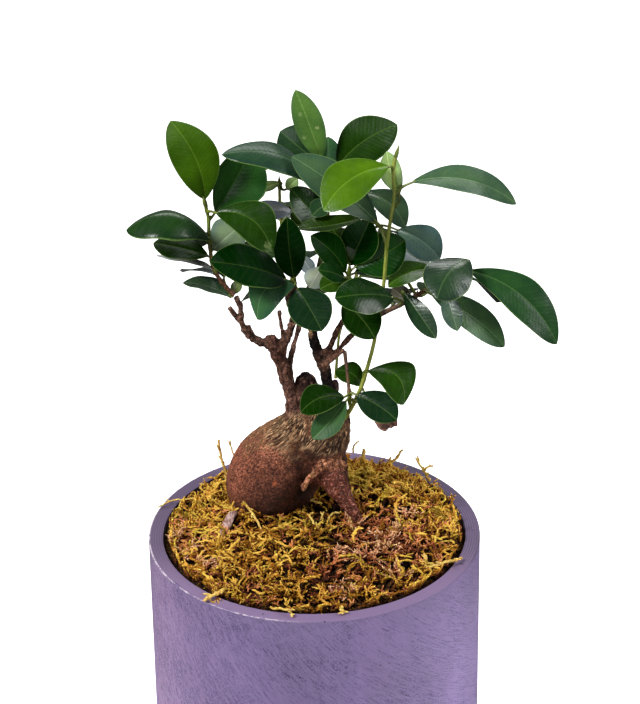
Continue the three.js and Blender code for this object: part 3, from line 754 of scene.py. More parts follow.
tint = sum(share[:, None] * shade(*BARK_COLOURS.get(name, TWIG_COLOUR)) for name, share in belongs.items())
rightward = share_of(skin[:, 0] + 0.15 * (skin[:, 2] - 175), -8, 0)
upper_bark = painted(np.tile(shade(136, 96, 62), (len(skin), 1)), (rightward, (102, 70, 50)))
upper_bark *= 1 + 0.35 * lumps[:, None]
on_upper = barky * on_bulb
shoulder = share_of(skin[:, 2] - 0.35 * (skin[:, 0] + 20) + 2.5 * lumps, 176, 181) * on_bulb
shoulder *= share_of(-skin[:, 0], 11, 16)
tint = painted(
    over(tint, on_upper, upper_bark),
    # Pale ridges and dark gaps on the corky bark: the cork's own colours, strengthened by painted highlight
    # and painted shade.
    (share_of(ridges, 0.05, 0.3) * on_upper * ridge_field * 0.35, (226, 194, 156)),
    (share_of(-ridges, 0.05, 0.35) * on_upper * 0.4, (46, 30, 22)),
    (shoulder * 0.8, (112, 82, 56)),
    (shoulder * share_of(knobs, 0.1, 0.35) * 0.7, (70, 44, 32)),
    (shoulder * share_of(fissures, 0.1, 0.4) * 0.6, (160, 138, 84)),
)
# Darker band below the bulb's collar: darker grey-brown bark, with painted shade along the collar's lower
# edge.
band = np.exp(-(((skin[:, 2] - 178) / 5) ** 2)) * share_of(skin[:, 0], -12, -4) * on_bulb
band *= 1 - 0.7 * share_of(skin[:, 0], -2, 4)
tint *= (1 - 0.42 * band)[:, None]
low_shadow = share_of(skin[:, 2] - 0.6 * (skin[:, 0] + 17), 150, 181) * on_bulb + (1 - on_bulb)
tint *= (0.26 + 0.74 * low_shadow)[:, None]
# Painted light: the bulb is lighter towards its left edge, which faces the main lamp.
tint *= (1 + 0.75 * share_of(-skin[:, 0], 24, 38) * on_bulb)[:, None]
print("mean base colour:", np.round(tint.mean(axis=0), 3))

# %% Tree: spots, pores and cracks
PALE_MARKS = (((-17.4, 2.9, 164.0), (1.0, 1.3, 1.3), (196, 104, 68)),
              ((-0.5, 16.5, 232.5), (1.2, 2.0, 2.4), (206, 164, 124)),
              ((7.2, 17.0, 217.4), (1.4, 2.0, 1.4), (200, 150, 118)))
# The salmon patch at the upper left of the lobe is speckled salmon bark, brightened by painted light where
# the lobe faces the main lamp.
salmon = spot(-16, 178, 9, 5)
speckle = share_of(grains, 0.05, 0.35) * np.maximum(1 - barky, salmon) * on_bulb
pores = share_of(-grains, 0.1, 0.4) * (1 - 0.5 * barky) * on_bulb
trunk_foot = belongs["left_trunk"] * share_of(-skin[:, 2], -228, -214)
dark_fold = spot(-8.5, 176.5, 6, 5) * on_bulb
folded = belongs["folded_root"]
tint = painted(
    tint,
    (speckle * (0.1 + 0.65 * salmon) * low_shadow, (218, 150, 122)),
    (0.4 * salmon * on_bulb, (196, 124, 92)),
    (pores * (0.25 + 0.5 * salmon), (58, 30, 24)),
    (0.6 * trunk_foot, (134, 98, 85)),
    (share_of(-fissures, 0.1, 0.45) * on_limb * 0.6, (34, 20, 18)),
    # Pale knob tops on the limbs are paler bark with a painted highlight, weaker on the right trunk, which
    # is painted in shade.
    (share_of(knobs, 0.15, 0.5) * on_limb * (0.4 - 0.34 * belongs["right_trunk"]), (150, 112, 94)),
    (share_of(-knobs, 0.1, 0.5) * on_limb * 0.5, (34, 20, 18)),
    # The folded root's pale ridges and dark furrows are its rough bark with painted highlight on the ridges
    # and painted shade in the furrows.
    (share_of(fissures, 0.05, 0.3) * folded * 0.8, (214, 156, 112)),
    (share_of(-fissures, 0.05, 0.35) * folded * 0.8, (58, 32, 22)),
    (share_of(grains, 0.15, 0.45) * on_root * 0.5, (190, 134, 120)),
    (share_of(-grains, 0.15, 0.45) * on_root * 0.5, (50, 28, 24)),
    # Painted shade in the crease.
    (crease * 0.6 * on_bulb, (34, 20, 16)),
    (0.8 * dark_fold, (60, 36, 24)),
)
for place, reach, colour in PALE_MARKS:
    mark = np.exp(-np.sum(((skin - place) / reach) ** 2, axis=1) ** 2)
    tint = painted(tint, (mark * (0.65 + 0.5 * grains), colour))
corky = on_upper * ridge_field * (1 - 0.75 * share_of(-skin[:, 0], 19, 24)) * (1 - 0.9 * dark_fold)
write_colour(trunk.data, "bark_tint", np.clip(tint, 0.003, 1))
write_colour(trunk.data, "bark_ruler", along_bulb * 0.01 + 0.5)
write_colour(trunk.data, "bark_corky", np.repeat(corky[:, None], 3, axis=1))
print("mean bark colour:", np.round(tint.mean(axis=0), 3))

# %% [markdown]
# The finish multiplies the painted colour by a fine and a coarse grain. Where the attribute
# `bark_corky` is high it adds pale crests and dark furrows, the cork's own colours strengthened by
# painted highlight on the crests and painted shade in the furrows. They follow a ruler that runs
# round the bulb and is squeezed upright, so that the furrows are taller than they are wide.

# %% Tree: finish
def bark_finish():
    material, tree, shader = principled("fig_bark", (0.2, 0.13, 0.1), 0.75)
    shader.inputs["Specular IOR Level"].default_value = 0.22
    place = object_place(tree)
    ruler = carried(tree, "bark_ruler", "Vector")
    corky = carried(tree, "bark_corky")
    cork = noise_value(tree, stretched(tree, ruler, (1.0, 1.0, 0.36)), 95.0, 2.0, 0.6)
    cells = add_node(
        tree, "ShaderNodeTexVoronoi", {"Vector": stretched(tree, ruler, (1.0, 1.0, 0.42)), "Scale": 72.0},
        feature="DISTANCE_TO_EDGE",
    ).outputs["Distance"]
    fine = noise_value(tree, place, 1700.0, 3.0, 0.75)
    grit = noise_value(tree, place, 760.0, 3.0, 0.7)
    broad = noise_value(tree, place, 260.0, 4.0, 0.65)
    crest = times(tree, corky, ramp_between(tree, cork, 0.45, 0.56))
    furrow = times(tree, corky, inverse(tree, ramp_between(tree, cells, 0.04, 0.25)))
    colour = carried(tree, "bark_tint", "Color")
    colour = varied(tree, colour, fine, 0.4, 0.62, (0.36, 0.33, 0.31), (1.8, 1.8, 1.78))
    colour = varied(tree, colour, grit, 0.36, 0.64, (0.48, 0.48, 0.5), (1.54, 1.54, 1.51))
    # Painted highlight on the crests and painted shade in the furrows, over the cork's own pale and dark.
    colour = coats(tree, colour, (crest, 0.95, shade(255, 206, 156)), (furrow, 0.95, shade(38, 20, 14)))
    colour = varied(tree, colour, broad, 0.3, 0.7, (0.74, 0.72, 0.72), (1.22, 1.2, 1.18))
    set_colour(tree, shader, colour)
    tree.links.new(times_plus(tree, broad, 0.35, 0.42), shader.inputs["Roughness"])
    height = times_plus(tree, furrow, -0.9, times_plus(tree, fine, 0.9, broad))
    bump(tree, shader, height, 0.8 * MM)
    return material


trunk.data.materials.clear()
trunk.data.materials.append(bark_finish())
dress(trunk, "bark", "trunk")

# %% [markdown]
# ## One blade for every leaf
# All the leaves are one thick, glossy, oval blade with a pale midrib. It is modelled once, flat and
# one unit large: a grid with closer rows near the midrib and the ends, made solid. Each leaf is a
# copy whose points are moved along its own midrib, across it and out of its upper side.

# %% Leaves: the master blade
BLADE_COLUMNS = 14
BLADE_ROWS = 28
TOP_FACE, UNDER_FACE, EDGE_FACE = 0, 1, 2

deselect_all()
bpy.ops.mesh.primitive_grid_add(x_subdivisions=BLADE_COLUMNS, y_subdivisions=BLADE_ROWS, size=2)
blade = bpy.context.object
blade.name = "blade_master"
flat = vertex_array(blade.data)
flat[:, 0] = np.sign(flat[:, 0]) * np.abs(flat[:, 0]) ** 1.35
flat[:, 1] = 0.5 - 0.5 * np.cos(math.pi * (flat[:, 1] + 1) / 2)
write_vertices(blade.data, flat)
apply_modifier(blade, "SOLIDIFY", thickness=2, offset=0)
blade.data.materials.clear()
for face in blade.data.polygons:
    level = face.center.z
    face.material_index = TOP_FACE if level > 0.9 else UNDER_FACE if level < -0.9 else EDGE_FACE
blade_grid = vertex_array(blade.data)
print("blade faces:", len(blade.data.polygons))

# %% [markdown]
# Leaves differ in colour by age and by how they lie: young ones are bright yellow green, old ones
# nearly black green, and some show their paler underside. A look is the colour of the upper side
# and how strongly it mirrors. Attributes carry both, so all leaves share one material. A leaf's row
# is its base, tip, width, facing, arch, fold, sideways bow and look.

# %% Leaves: looks and rows
# Some looks carry painted light. ash, slate, dusk, chalk, silver, sage, sage_dark and slate_green are grey
# or pale by painted sheen, the bright surroundings mirrored by the waxy upper side; light is paler by
# painted light shining through the blade; and the low lit leaf of the right shoot is painted lighter to make
# up for the shade that it lies in.
LEAF_LOOKS = {
    "bright": (66, 104, 2, 0.25), "yellow": (66, 99, 14, 0.3), "spring": (86, 124, 58, 0.2),
    "fresh": (66, 104, 38, 0.25), "leafy": (46, 74, 20, 0.2), "mid": (31, 60, 5, 0.3),
    "mid_dark": (20, 46, 1, 0.15), "gloss": (16, 46, 2, 0.3), "shaded": (34, 62, 12, 0.04),
    "deep": (29, 56, 24, 0.3), "velvet": (44, 88, 36, 0.3), "dark": (18, 44, 14, 0.2),
    "black": (6, 44, 6, 0.08), "black_green": (16, 56, 8, 0.08), "moody": (34, 62, 26, 0.3),
    "blue": (23, 47, 27, 0.22), "blue_light": (54, 90, 58, 0.2), "broad": (38, 70, 38, 0.15),
    "shade_lifted": (78, 112, 72, 0.15), "bluegreen": (58, 90, 54, 0.04), "sage": (62, 88, 62, 0.1),
    "silver": (66, 88, 72, 0.3), "pale": (118, 140, 112, 0.3), "chalk": (222, 236, 208, 0.3),
    "olive": (34, 56, 10, 0.15), "light": (152, 186, 112, 0.3), "teal": (36, 61, 38, 0.4),
    "teal_soft": (38, 64, 44, 0.16), "ash": (176, 176, 170, 0.3), "slate": (150, 164, 166, 0.3),
    "grey": (38, 62, 40, 0.5), "slate_green": (80, 106, 94, 0.35), "sage_dark": (54, 78, 54, 0.35),
    "dusk": (112, 118, 122, 0.3), "taupe": (104, 102, 86, 0.3), "lime": (112, 132, 76, 0.3),
    "withered": (96, 62, 48, 0.1), "grey_green": (62, 86, 60, 0.2),
}
TO_FRONT, FRONT_UP, UP_FRONT = (0, -0.88, 0.48), (0, -0.6, 0.8), (0, -0.3, 0.95)
STRAIGHT_UP, UP_BACK, BACK_UP = (0, 0, 1), (0, 0.3, 0.95), (0, 0.6, 0.8)
RIGHT_UP, LEFT_UP = (0.6, 0.1, 0.8), (-0.6, 0.1, 0.8)
SHOOTS = {
    "shoot_left": {
        "stem": [(-33.7, 10.6, 255, 1.2), (-37, 10, 259, 1.1), (-42, 8.5, 268.5, 1.05), (-43, 8, 276, 1),
                 (-43.5, 7.5, 285, 0.95), (-43.5, 7, 293.5, 0.9), (-44.5, 6, 299.5, 0.8)],
        "leaves": [
            ((-44.5, 6, 302.5), (-57.5, 0, 341.5), 20, TO_FRONT, 0.05, 0.1, 0.08, "bright"),
            ((-42.5, 5, 284), (-78.5, 1, 291), 24, (0, -0.1, 1), 0.29, -0.5, 0, "deep"),
            ((-44, 9, 274.5), (-68, 13, 279), 15, UP_FRONT, 0.04, 0, 0, "shaded"),
            ((-42.5, 8, 269), (-67.5, 26, 267), 11, UP_BACK, 0.03, 0.05, 0, "ash"),
            ((-41, 10, 265), (-56.5, 30, 257), 12, UP_BACK, 0.06, 0.1, 0, "slate"),
            ((-35, 10, 254), (-56, 18, 257.5), 13, STRAIGHT_UP, 0.08, 0.2, 0, "grey_green"),
            ((-40.5, 9, 295), (-24.5, 21, 319.5), 25, (0.42, -0.89, 0.18), 0.04, 0.45, 0, "velvet"),
            ((-40, 1.5, 298.5), (-16, -14, 287), 19, FRONT_UP, 0.12, 0.1, -0.17, "mid"),
            ((-42.5, 13, 275.5), (-30.5, 22, 282.5), 17, TO_FRONT, 0.06, 0.1, 0, "pale"),
            ((-34.5, 13.7, 253.4), (-31, 15.5, 259.2), 5, TO_FRONT, 0.04, 0.1, 0, "lime"),
            ((-45, 13, 282), (-50, 44, 262), 17, UP_BACK, 0.1, 0.1, 0, "dark"),
            ((-38, 14, 262), (-34, 45, 247), 16, UP_BACK, 0.1, 0.1, 0, "dark"),
        ],
    },
    "shoot_middle": {
        "stem": [(-7.7, 10.2, 258.3, 1.5), (-7, 8.5, 260.5, 1.3), (-7.5, 7, 263.5, 1.1)],
        "leaves": [
            ((-7, 5, 265), (-9.5, -8, 300), 14, (0.1, -0.95, 0.1), 0.05, 0.2, -0.02, "black"),
            ((-10, 4, 264.5), (-42.5, -14, 282.5), 21, FRONT_UP, 0.08, 0.12, 0, "black"),
            ((-6.5, 4, 262.5), (-23, -14, 255), 17, TO_FRONT, 0.08, 0.1, 0.28, "blue_light"),
            ((-6, 4, 261), (4.5, -18, 251), 19, FRONT_UP, 0.08, 0.08, 0, "blue"),
        ],
    },
    "shoot_tall": {
        "stem": [(14.3, 10.2, 192.6, 1.1), (17.5, 8, 199.5, 1.15), (21.5, 5, 210.5, 1.1),
                 (24.5, 3, 222, 1.05), (27.5, 1.5, 235.5, 1), (28.5, 0, 244.5, 1),
                 (31.5, -4, 265.5, 0.95), (33, -8, 288, 0.95), (34.5, -9, 299.5, 0.95),
                 (36, -9, 309.5, 0.9), (35.5, -9, 319.5, 0.85), (36, -9, 325.5, 1),
                 (36.5, -9, 327.5, 0.9)],
        "leaves": [
            ((24.5, 1, 221.5), (40, -14, 212.5), 17.5, FRONT_UP, 0.06, 0.08, -0.3, "mid"),
            ((22.5, 9, 209.5), (10.5, 14, 215), 11, FRONT_UP, 0.06, 0.05, 0.16, "mid"),
            ((29, -9, 297.5), (-7, 0, 324.5), 18, FRONT_UP, 0.08, 0.12, 0, "sage"),
            ((33.5, -11, 324.5), (6, -27, 311.5), 20, FRONT_UP, 0.06, 0.08, 0.11, "yellow"),
            ((43, -9, 316), (87, -15, 308), 17, UP_FRONT, 0.17, 0.08, 0, "sage"),
            ((38.5, -6, 309.5), (33, -3, 327.5), 9.5, TO_FRONT, 0.04, 0.2, -0.06, "light"),
            ((23, 0, 296), (-5, -3, 292.5), 9.5, UP_FRONT, 0.06, 0.35, -0.12, "olive"),
        ],
    },
    "shoot_centre": {
        "stem": [(14.2, 7.7, 243.8, 1.1), (15, 5, 249.5, 1), (16, 3, 259, 0.95), (16.5, 1, 268, 0.9)],
        "leaves": [
            ((17, 5, 271), (26, 5, 292.5), 17, (-0.2, -0.9, 0.3), 0.03, 0.25, 0, "black"),
            ((19, 4, 270.5), (41, 3, 283.5), 19, TO_FRONT, 0.03, 0.12, 0.05, "black_green"),
            ((19, 7, 266.5), (40.5, 11, 266.5), 14, UP_FRONT, 0.04, 0.1, 0, "black"),
            ((15, -3, 269), (3.5, -11, 276.5), 10.5, FRONT_UP, 0.06, 0.1, 0, "black_green"),
            ((16, -1, 268), (4, -8, 266), 10, FRONT_UP, 0.05, 0.15, 0, "leafy"),
            ((15.5, 1, 269.5), (0.5, -4, 289.5), 14, FRONT_UP, 0.05, 0.15, 0.05, "black_green"),
            ((17, 4, 272), (10, 8, 287.5), 15, TO_FRONT, 0.06, 0.15, 0, "olive"),
            ((14, 1, 255), (27.5, -13, 244.5), 17, FRONT_UP, 0.08, 0.1, -0.04, "mid_dark"),
        ],
    },
    "shoot_right": {
        "stem": [(20.1, 13.8, 234.6, 1.2), (30.5, 11, 244, 1.3), (39, 10, 249, 1.25),
                 (45, 10.5, 252.5, 1.15), (52, 11, 256.5, 1.1), (59.5, 12, 259.5, 1),
                 (67, 12, 262.5, 0.8)],
        "leaves": [
            ((69, 6, 272.5), (54, -16, 264.5), 21.5, FRONT_UP, 0.1, -0.25, 0.09, "grey"),
            ((69, 10, 265.5), (107, -4, 236), 18.5, FRONT_UP, 0.1, 0.05, -0.09, "broad"),
            ((52.5, 6, 256), (84.5, 0, 233), 14.5, FRONT_UP, 0.08, 0.08, -0.03, "shade_lifted"),
            ((58.5, 5, 257.5), (63.5, -6, 244), 9, TO_FRONT, 0.06, 0.3, 0, "silver"),
            ((40.5, 4, 258), (54, -10, 242.5), 9.5, TO_FRONT, 0.05, 0.2, 0, "teal"),
            ((44, 12, 249), (35.5, 14, 255), 9, FRONT_UP, 0.06, 0.05, 0, "taupe"),
            ((54, 1, 270.5), (33.5, -5.5, 265.5), 13, UP_FRONT, 0.06, 0.15, 0.1, "leafy"),
            ((36, -7, 261), (10.5, -20, 267.5), 18, FRONT_UP, 0.1, -0.15, 0, "gloss"),
            ((39.5, 27, 268), (51.5, 19, 262.5), 14, FRONT_UP, 0.05, 0.1, 0, "slate"),
            ((66, 18, 258), (84, 46, 232), 18, (0.4, 0.3, 0.8), 0.08, 0.1, 0, "dark"),
            ((50, 16, 251), (62, 48, 236), 18, UP_BACK, 0.1, 0.1, 0, "mid"),
            ((36, 16, 246), (42, 46, 238), 17, UP_BACK, 0.1, 0.1, 0, "dark"),
        ],
    },
    "shoot_top": {
        "stem": [(0.5, 16.2, 238.8, 1.9), (1, 16, 250, 1.6), (4, 16, 266, 1.4), (7, 15, 282, 1.2),
                 (8, 13, 298, 1.1), (8, 12, 312, 0.9)],
        "leaves": [
            ((4.5, 9, 304.5), (-36.5, 1, 325.5), 18, UP_FRONT, 0.22, -0.18, 0, "teal_soft"),
            ((8, 12, 285.5), (-8, 11, 305), 15, FRONT_UP, 0.06, 0.1, -0.04, "moody"),
            ((12, 12, 314), (37.5, 6, 336), 20, TO_FRONT, 0.05, 0.1, -0.07, "mid"),
            ((5.5, 8, 319), (-5, 4, 353), 12.5, TO_FRONT, 0.03, 0.15, 0.01, "spring"),
            ((4.5, 17, 313.5), (-12, 17, 329), 20, TO_FRONT, 0.05, 0.1, 0, "teal"),
            ((8, 19, 308), (8.5, 21, 324.5), 11, TO_FRONT, 0.04, 0.1, 0, "blue_light"),
            ((5, 12, 267), (-0.5, 8, 259), 10, TO_FRONT, 0.06, 0.1, 0, "chalk"),
            ((9.5, 3, 301.5), (1, -4, 298.5), 9, FRONT_UP, 0.08, 0.2, 0.05, "teal"),
            ((12, 20, 312), (18, 50, 300), 18, UP_BACK, 0.1, 0.1, 0, "mid"),
            ((4, 22, 306), (-22, 50, 296), 19, UP_BACK, 0.1, 0.1, 0, "dark"),
        ],
    },
    "shoot_low": {
        "stem": [(14.6, 9.4, 226.8, 1.1), (15.5, 7, 218.5, 0.9), (16, 5, 213.5, 0.85),
                 (16.5, 4, 208, 1.1), (16.5, 4, 206, 0.7)],
        "leaves": [
            ((14.5, 1, 208.5), (-5, -11, 207.5), 14.5, FRONT_UP, 0.06, 0.05, 0.13, "mid_dark"),
            ((15, 0, 207), (0, -10, 193.5), 12, FRONT_UP, 0.05, 0.1, -0.04, "bluegreen"),
            ((19.5, 2, 209), (37, -11, 203), 15, FRONT_UP, 0.05, 0.05, -0.03, "blue"),
            ((25.5, 4, 200.5), (37.5, 1, 193), 8, TO_FRONT, 0.08, 0.3, 0, "withered"),
        ],
    },
    "shoot_back_right": {
        "stem": [(10.6, 30.8, 202.1, 0.9), (11.5, 33, 213, 0.75), (12.5, 35, 222, 0.75),
                 (14.5, 37, 229, 0.8), (17.5, 41, 238.5, 1), (24, 42, 260, 1), (28, 37, 278, 0.9)],
        "leaves": [
            ((23.5, 29, 295), (41.5, 13, 285), 13, FRONT_UP, 0.06, 0.08, -0.12, "sage_dark"),
            ((38.5, 24, 279), (56.5, 12, 270), 16.5, FRONT_UP, 0.06, 0.08, -0.06, "slate_green"),
            ((22, 46, 246), (47, 66, 236), 20, RIGHT_UP, 0.1, 0.1, 0, "deep"),
            ((24, 48, 258), (20, 80, 250), 19, BACK_UP, 0.1, 0.1, 0, "dark"),
            ((31, 43, 268), (48, 62, 255), 18, UP_BACK, 0.1, 0.1, 0, "mid"),
            ((14, 45, 238), (2, 72, 224), 18, BACK_UP, 0.1, 0.1, 0, "dark"),
            ((24, 42, 276), (14, 68, 282), 17, BACK_UP, 0.1, 0.1, 0, "fresh"),
        ],
    },
    "shoot_back_left": {
        "stem": [(-5.9, 39, 227.4, 1.1), (-8, 46, 244, 1.1), (-12, 44, 268, 1.1),
                 (-13, 36, 285.5, 0.9), (-13, 31, 295.5, 0.8), (-13, 30, 298, 0.8)],
        "leaves": [
            ((-12.5, 29, 300), (-22, 25, 298), 5, FRONT_UP, 0.04, 0.15, 0, "lime"),
            ((-10, 28, 297), (-5, 27, 302.5), 6, TO_FRONT, 0.06, 0.2, 0, "light"),
            ((-7.5, 27, 287), (-25, 21, 290), 10, FRONT_UP, 0.05, 0.05, 0, "dusk"),
            ((-3, 30, 279.5), (-8, 29, 285.5), 5.5, TO_FRONT, 0.04, 0.1, 0, "olive"),
            ((-13, 47, 256), (-44, 60, 246), 20, LEFT_UP, 0.1, 0.1, 0, "deep"),
            ((-6, 50, 250), (4, 82, 240), 19, BACK_UP, 0.1, 0.1, 0, "dark"),
            ((-18, 46, 268), (-46, 56, 262), 19, LEFT_UP, 0.1, 0.1, 0, "mid"),
            ((-12, 48, 272), (-14, 78, 268), 19, BACK_UP, 0.1, 0.1, 0, "dark"),
            ((-10, 47, 242), (-32, 62, 226), 18, LEFT_UP, 0.1, 0.1, 0, "dark"),
            ((-4, 30, 264), (1, 25, 257.5), 6.5, TO_FRONT, 0.04, 0.1, 0, "slate"),
        ],
    },
}
print("leaves:", sum(len(shoot["leaves"]) for shoot in SHOOTS.values()))

# %% [markdown]
# The width follows the real outline: a wedge at the stalk, widest a little past the middle, then a
# short blunt tip. The two halves fold up a little from the midrib, the midrib itself is a shallow
# groove above and a low ridge below, and the margins wave slightly, differently on each leaf.

# %% Leaves: placing one blade
BLADE_HALF_THICKNESS = 0.24
BLADE_TIP_WIDTH = 0.35
GROOVE_DEPTH = 0.38
GROOVE_WIDTH = 0.75


def unit(vector):
    return vector / np.linalg.norm(vector)


def leaf_directions(base, tip, face):
    start = np.array(base, dtype=float)
    reach = np.array(tip, dtype=float) - start
    along = unit(reach)
    upper = np.array(face, dtype=float)
    upper = unit(upper - along * upper.dot(along))
    return start, along, np.linalg.norm(reach), upper, np.cross(along, upper)


def place_blade(row, chance):
    base, tip, width, face, arch, fold, bow, look = row
    start, along, length, upper, across = leaf_directions(base, tip, face)
    side, place, level = blade_grid[:, 0], blade_grid[:, 1], blade_grid[:, 2]
    shifted = place ** 1.2
    half = np.maximum(width / 2 * np.clip(4 * shifted * (1 - shifted), 0, 1) ** 0.7, BLADE_TIP_WIDTH)
    belly = 4 * place * (1 - place)
    wave_phase, wave_turns = chance.uniform(0, 6.28), chance.uniform(1.2, 2.2)
    wave = np.sin(2 * math.pi * wave_turns * place + wave_phase + 2.1 * (side > 0))
    groove = np.exp(-((half * side / GROOVE_WIDTH) ** 2)) * (1 - 0.85 * place)
    rise = arch * length * belly + fold * half * np.abs(side) ** 1.4
    rise += chance.uniform(0.03, 0.07) * half * side ** 2 * wave * belly
    rise -= GROOVE_DEPTH * groove * np.where(level > 0, 1, 0.2)
    thickness = BLADE_HALF_THICKNESS * (1 - 0.45 * np.abs(side) ** 6)
    thickness *= np.where(level < 0, 1 + 1.6 * groove, 1)
    points = (start + along * (length * place)[:, None]
              + across * (half * side + bow * length * belly)[:, None]
              + upper * (rise + level * thickness)[:, None])
    copy = blade.copy()
    copy.data = blade.data.copy()
    bpy.context.scene.collection.objects.link(copy)
    write_vertices(copy.data, points * MM)
    *colour, shine = LEAF_LOOKS[look]
    colour = shade(*colour) * chance.uniform(0.9, 1.12)
    write_colour(copy.data, "leaf_tint", np.tile(colour, (len(points), 1)))
    shine_layer = copy.data.attributes.new("leaf_shine", "FLOAT", "POINT")
    shine_layer.data.foreach_set("value", np.full(len(points), shine))
    ruler = np.column_stack([half * side, length * place, side]) * 0.1
    layer = copy.data.attributes.new("blade_ruler", "FLOAT_VECTOR", "POINT")
    layer.data.foreach_set("vector", ruler.ravel())
    return copy


print("one blade's points:", len(blade_grid))

# %% [markdown]
# The finish reads the ruler that each blade carries: how far a point is from the midrib and from
# the stalk, in centimetres, and how near it is to the margin. From it come the pale midrib, the
# faint side veins that run forward to the margin, and the thin light margin. The upper side is waxy
# and glossy, the underside matt. Six small blemishes, pale or brown, lie where the photograph shows
# them.

# %% Leaves: veins and blemishes
VEIN_GAP = 0.2
LEAF_MARKS = [
    ((5.2, -6.0, 213.8), 1.0, (0.2, 0.075, 0.03)),
    ((3.8, 6.0, 335.4), 1.0, (0.42, 0.5, 0.2)),
    ((-1.4, 6.0, 331.4), 1.5, (0.33, 0.42, 0.16)),
    ((-3.3, 5.0, 342.3), 1.1, (0.33, 0.42, 0.16)),
    ((67.6, 2.0, 244.7), 1.3, (0.45, 0.3, 0.16)),
    ((-17.7, -13.0, 289.1), 2.2, (0.14, 0.2, 0.07)),
]


def vein_marks(tree):
    sideways, along, edge = axes_of(tree, carried(tree, "blade_ruler", "Vector"))
    away = maths(tree, "ABSOLUTE", sideways)
    edge = maths(tree, "ABSOLUTE", edge)
    rib_reach = times_plus(tree, along, -0.004, 0.038)
    midrib = inverse(tree, ramp_between(tree, away, 0.012, rib_reach))
    ripple = noise_value(tree, object_place(tree), 160.0, 2.0)
    lane = maths(tree, "SUBTRACT", along, times(tree, away, 0.75))
    lane = times_plus(tree, ripple, 0.16, lane)
    to_vein = maths(tree, "PINGPONG", lane, VEIN_GAP)
    side_vein = inverse(tree, ramp_between(tree, to_vein, 0.008, 0.05))
    side_vein = times(tree, side_vein, inverse(tree, ramp_between(tree, edge, 0.07, 0.095)))
    quilt = maths(tree, "ABSOLUTE", maths(tree, "SINE", times(tree, lane, math.pi / VEIN_GAP)))
    margin = ramp_between(tree, edge, 0.094, 0.0992)
    outer = ramp_between(tree, edge, 0.045, 0.1)
    return midrib, side_vein, quilt, margin, outer


def marked(tree, colour, place, ragged):
    for (across, depth, height), reach, tone in LEAF_MARKS:
        away = add_node(tree, "ShaderNodeVectorMath", {
            0: stretched(tree, place, (1.0, 0.3, 1.0)), 1: (across * MM, 0.3 * depth * MM, height * MM),
        }, operation="DISTANCE").outputs["Value"]
        away = times_plus(tree, ragged, 2.4 * reach * MM, away)
        near = inverse(tree, ramp_between(tree, away, 1.5 * reach * MM, 2.2 * reach * MM))
        colour = coats(tree, colour, (near, 0.65, tone))
    return colour


print("blemishes on the leaves:", len(LEAF_MARKS))

# %% Leaves: finishes
VEIN_GREEN = (0.30, 0.42, 0.10)


def leaf_top_finish():
    material, tree, shader = principled("leaf_upper_side", (0.03, 0.1, 0.03), 0.3)
    place = object_place(tree)
    midrib, side_vein, quilt, margin, outer = vein_marks(tree)
    mottle = noise_value(tree, place, 90.0)
    fine = noise_value(tree, place, 900.0, 2.0)
    dimples = noise_value(tree, place, 330.0, 3.0)
    colour = carried(tree, "leaf_tint", "Color")
    colour = varied(tree, colour, mottle, 0.3, 0.7, (0.80, 0.82, 0.85), (1.2, 1.16, 1.0))
    # The outer band of the blade is painted darker and bluer than its middle: painted light shining through
    # the middle and a painted bluish reflection at the margin.
    colour = coats(tree, colour, (outer, 0.7, multiplied(tree, colour, (0.72, 0.76, 1.15))))
    colour = coats(tree, colour, (side_vein, 0.08, blend_colour(tree, 0.22, colour, VEIN_GREEN)))
    rib = blend_colour(tree, 0.2, multiplied(tree, colour, (2.2, 1.85, 2.4)), VEIN_GREEN)
    colour = coats(tree, colour, (midrib, 0.6, rib), (margin, 0.55, (0.16, 0.27, 0.06)))
    set_colour(tree, shader, marked(tree, colour, place, noise_value(tree, place, 1000.0, 2.0)))
    tree.links.new(times_plus(tree, dimples, 0.3, 0.14), shader.inputs["Roughness"])
    tree.links.new(carried(tree, "leaf_shine"), shader.inputs["Specular IOR Level"])
    shader.inputs["Sheen Weight"].default_value = 0.12
    shader.inputs["Sheen Roughness"].default_value = 0.35
    shader.inputs["Sheen Tint"].default_value = (0.72, 0.76, 0.9, 1.0)
    relief = times_plus(tree, quilt, 0.12, times(tree, fine, 0.12))
    relief = times_plus(tree, dimples, 0.35, relief)
    bump(tree, shader, times_plus(tree, mottle, 1.9, relief), 0.3 * MM, 0.6)
    return material


def leaf_under_finish():
    material, tree, shader = principled("leaf_underside", (0.12, 0.2, 0.08), 0.5)
    midrib, side_vein, _, _, _ = vein_marks(tree)
    colour = blend_colour(tree, 0.62, carried(tree, "leaf_tint", "Color"), (0.16, 0.24, 0.11))
    colour = coats(tree, colour, (side_vein, 0.25, (0.27, 0.36, 0.17)), (midrib, 0.7, (0.34, 0.42, 0.18)))
    set_colour(tree, shader, colour)
    bump(tree, shader, side_vein, 0.2 * MM, 0.6)
    return material


def leaf_edge_finish():
    material, tree, shader = principled("leaf_edge", (0.2, 0.3, 0.08), 0.45)
    tint_value = carried(tree, "leaf_tint", "Color")
    set_colour(tree, shader, blend_colour(tree, 0.4, tint_value, (0.16, 0.26, 0.06)))
    return material


leaf_finishes = [leaf_top_finish(), leaf_under_finish(), leaf_edge_finish()]
print("leaf finishes:", [finish.name for finish in leaf_finishes])

# %% [markdown]
# ## Stems and stalks
# Each leaf hangs on a short stalk that leaves the stem a little below it and bends into the
# blade's midrib. Where a stalk leaves, the stem thickens into a node, and a pointed bud sits in
# the angle between them.

# %% Stems: paths
STALK_RADII = (0.75, 0.6, 0.45)
NODE_SWELLING = 0.16
NODE_REACH = 0.9
STEM_SLIMNESS = 0.86


def nearest_on(path, point):
    return int(np.argmin(np.linalg.norm(path[:, :3] - point, axis=1)))


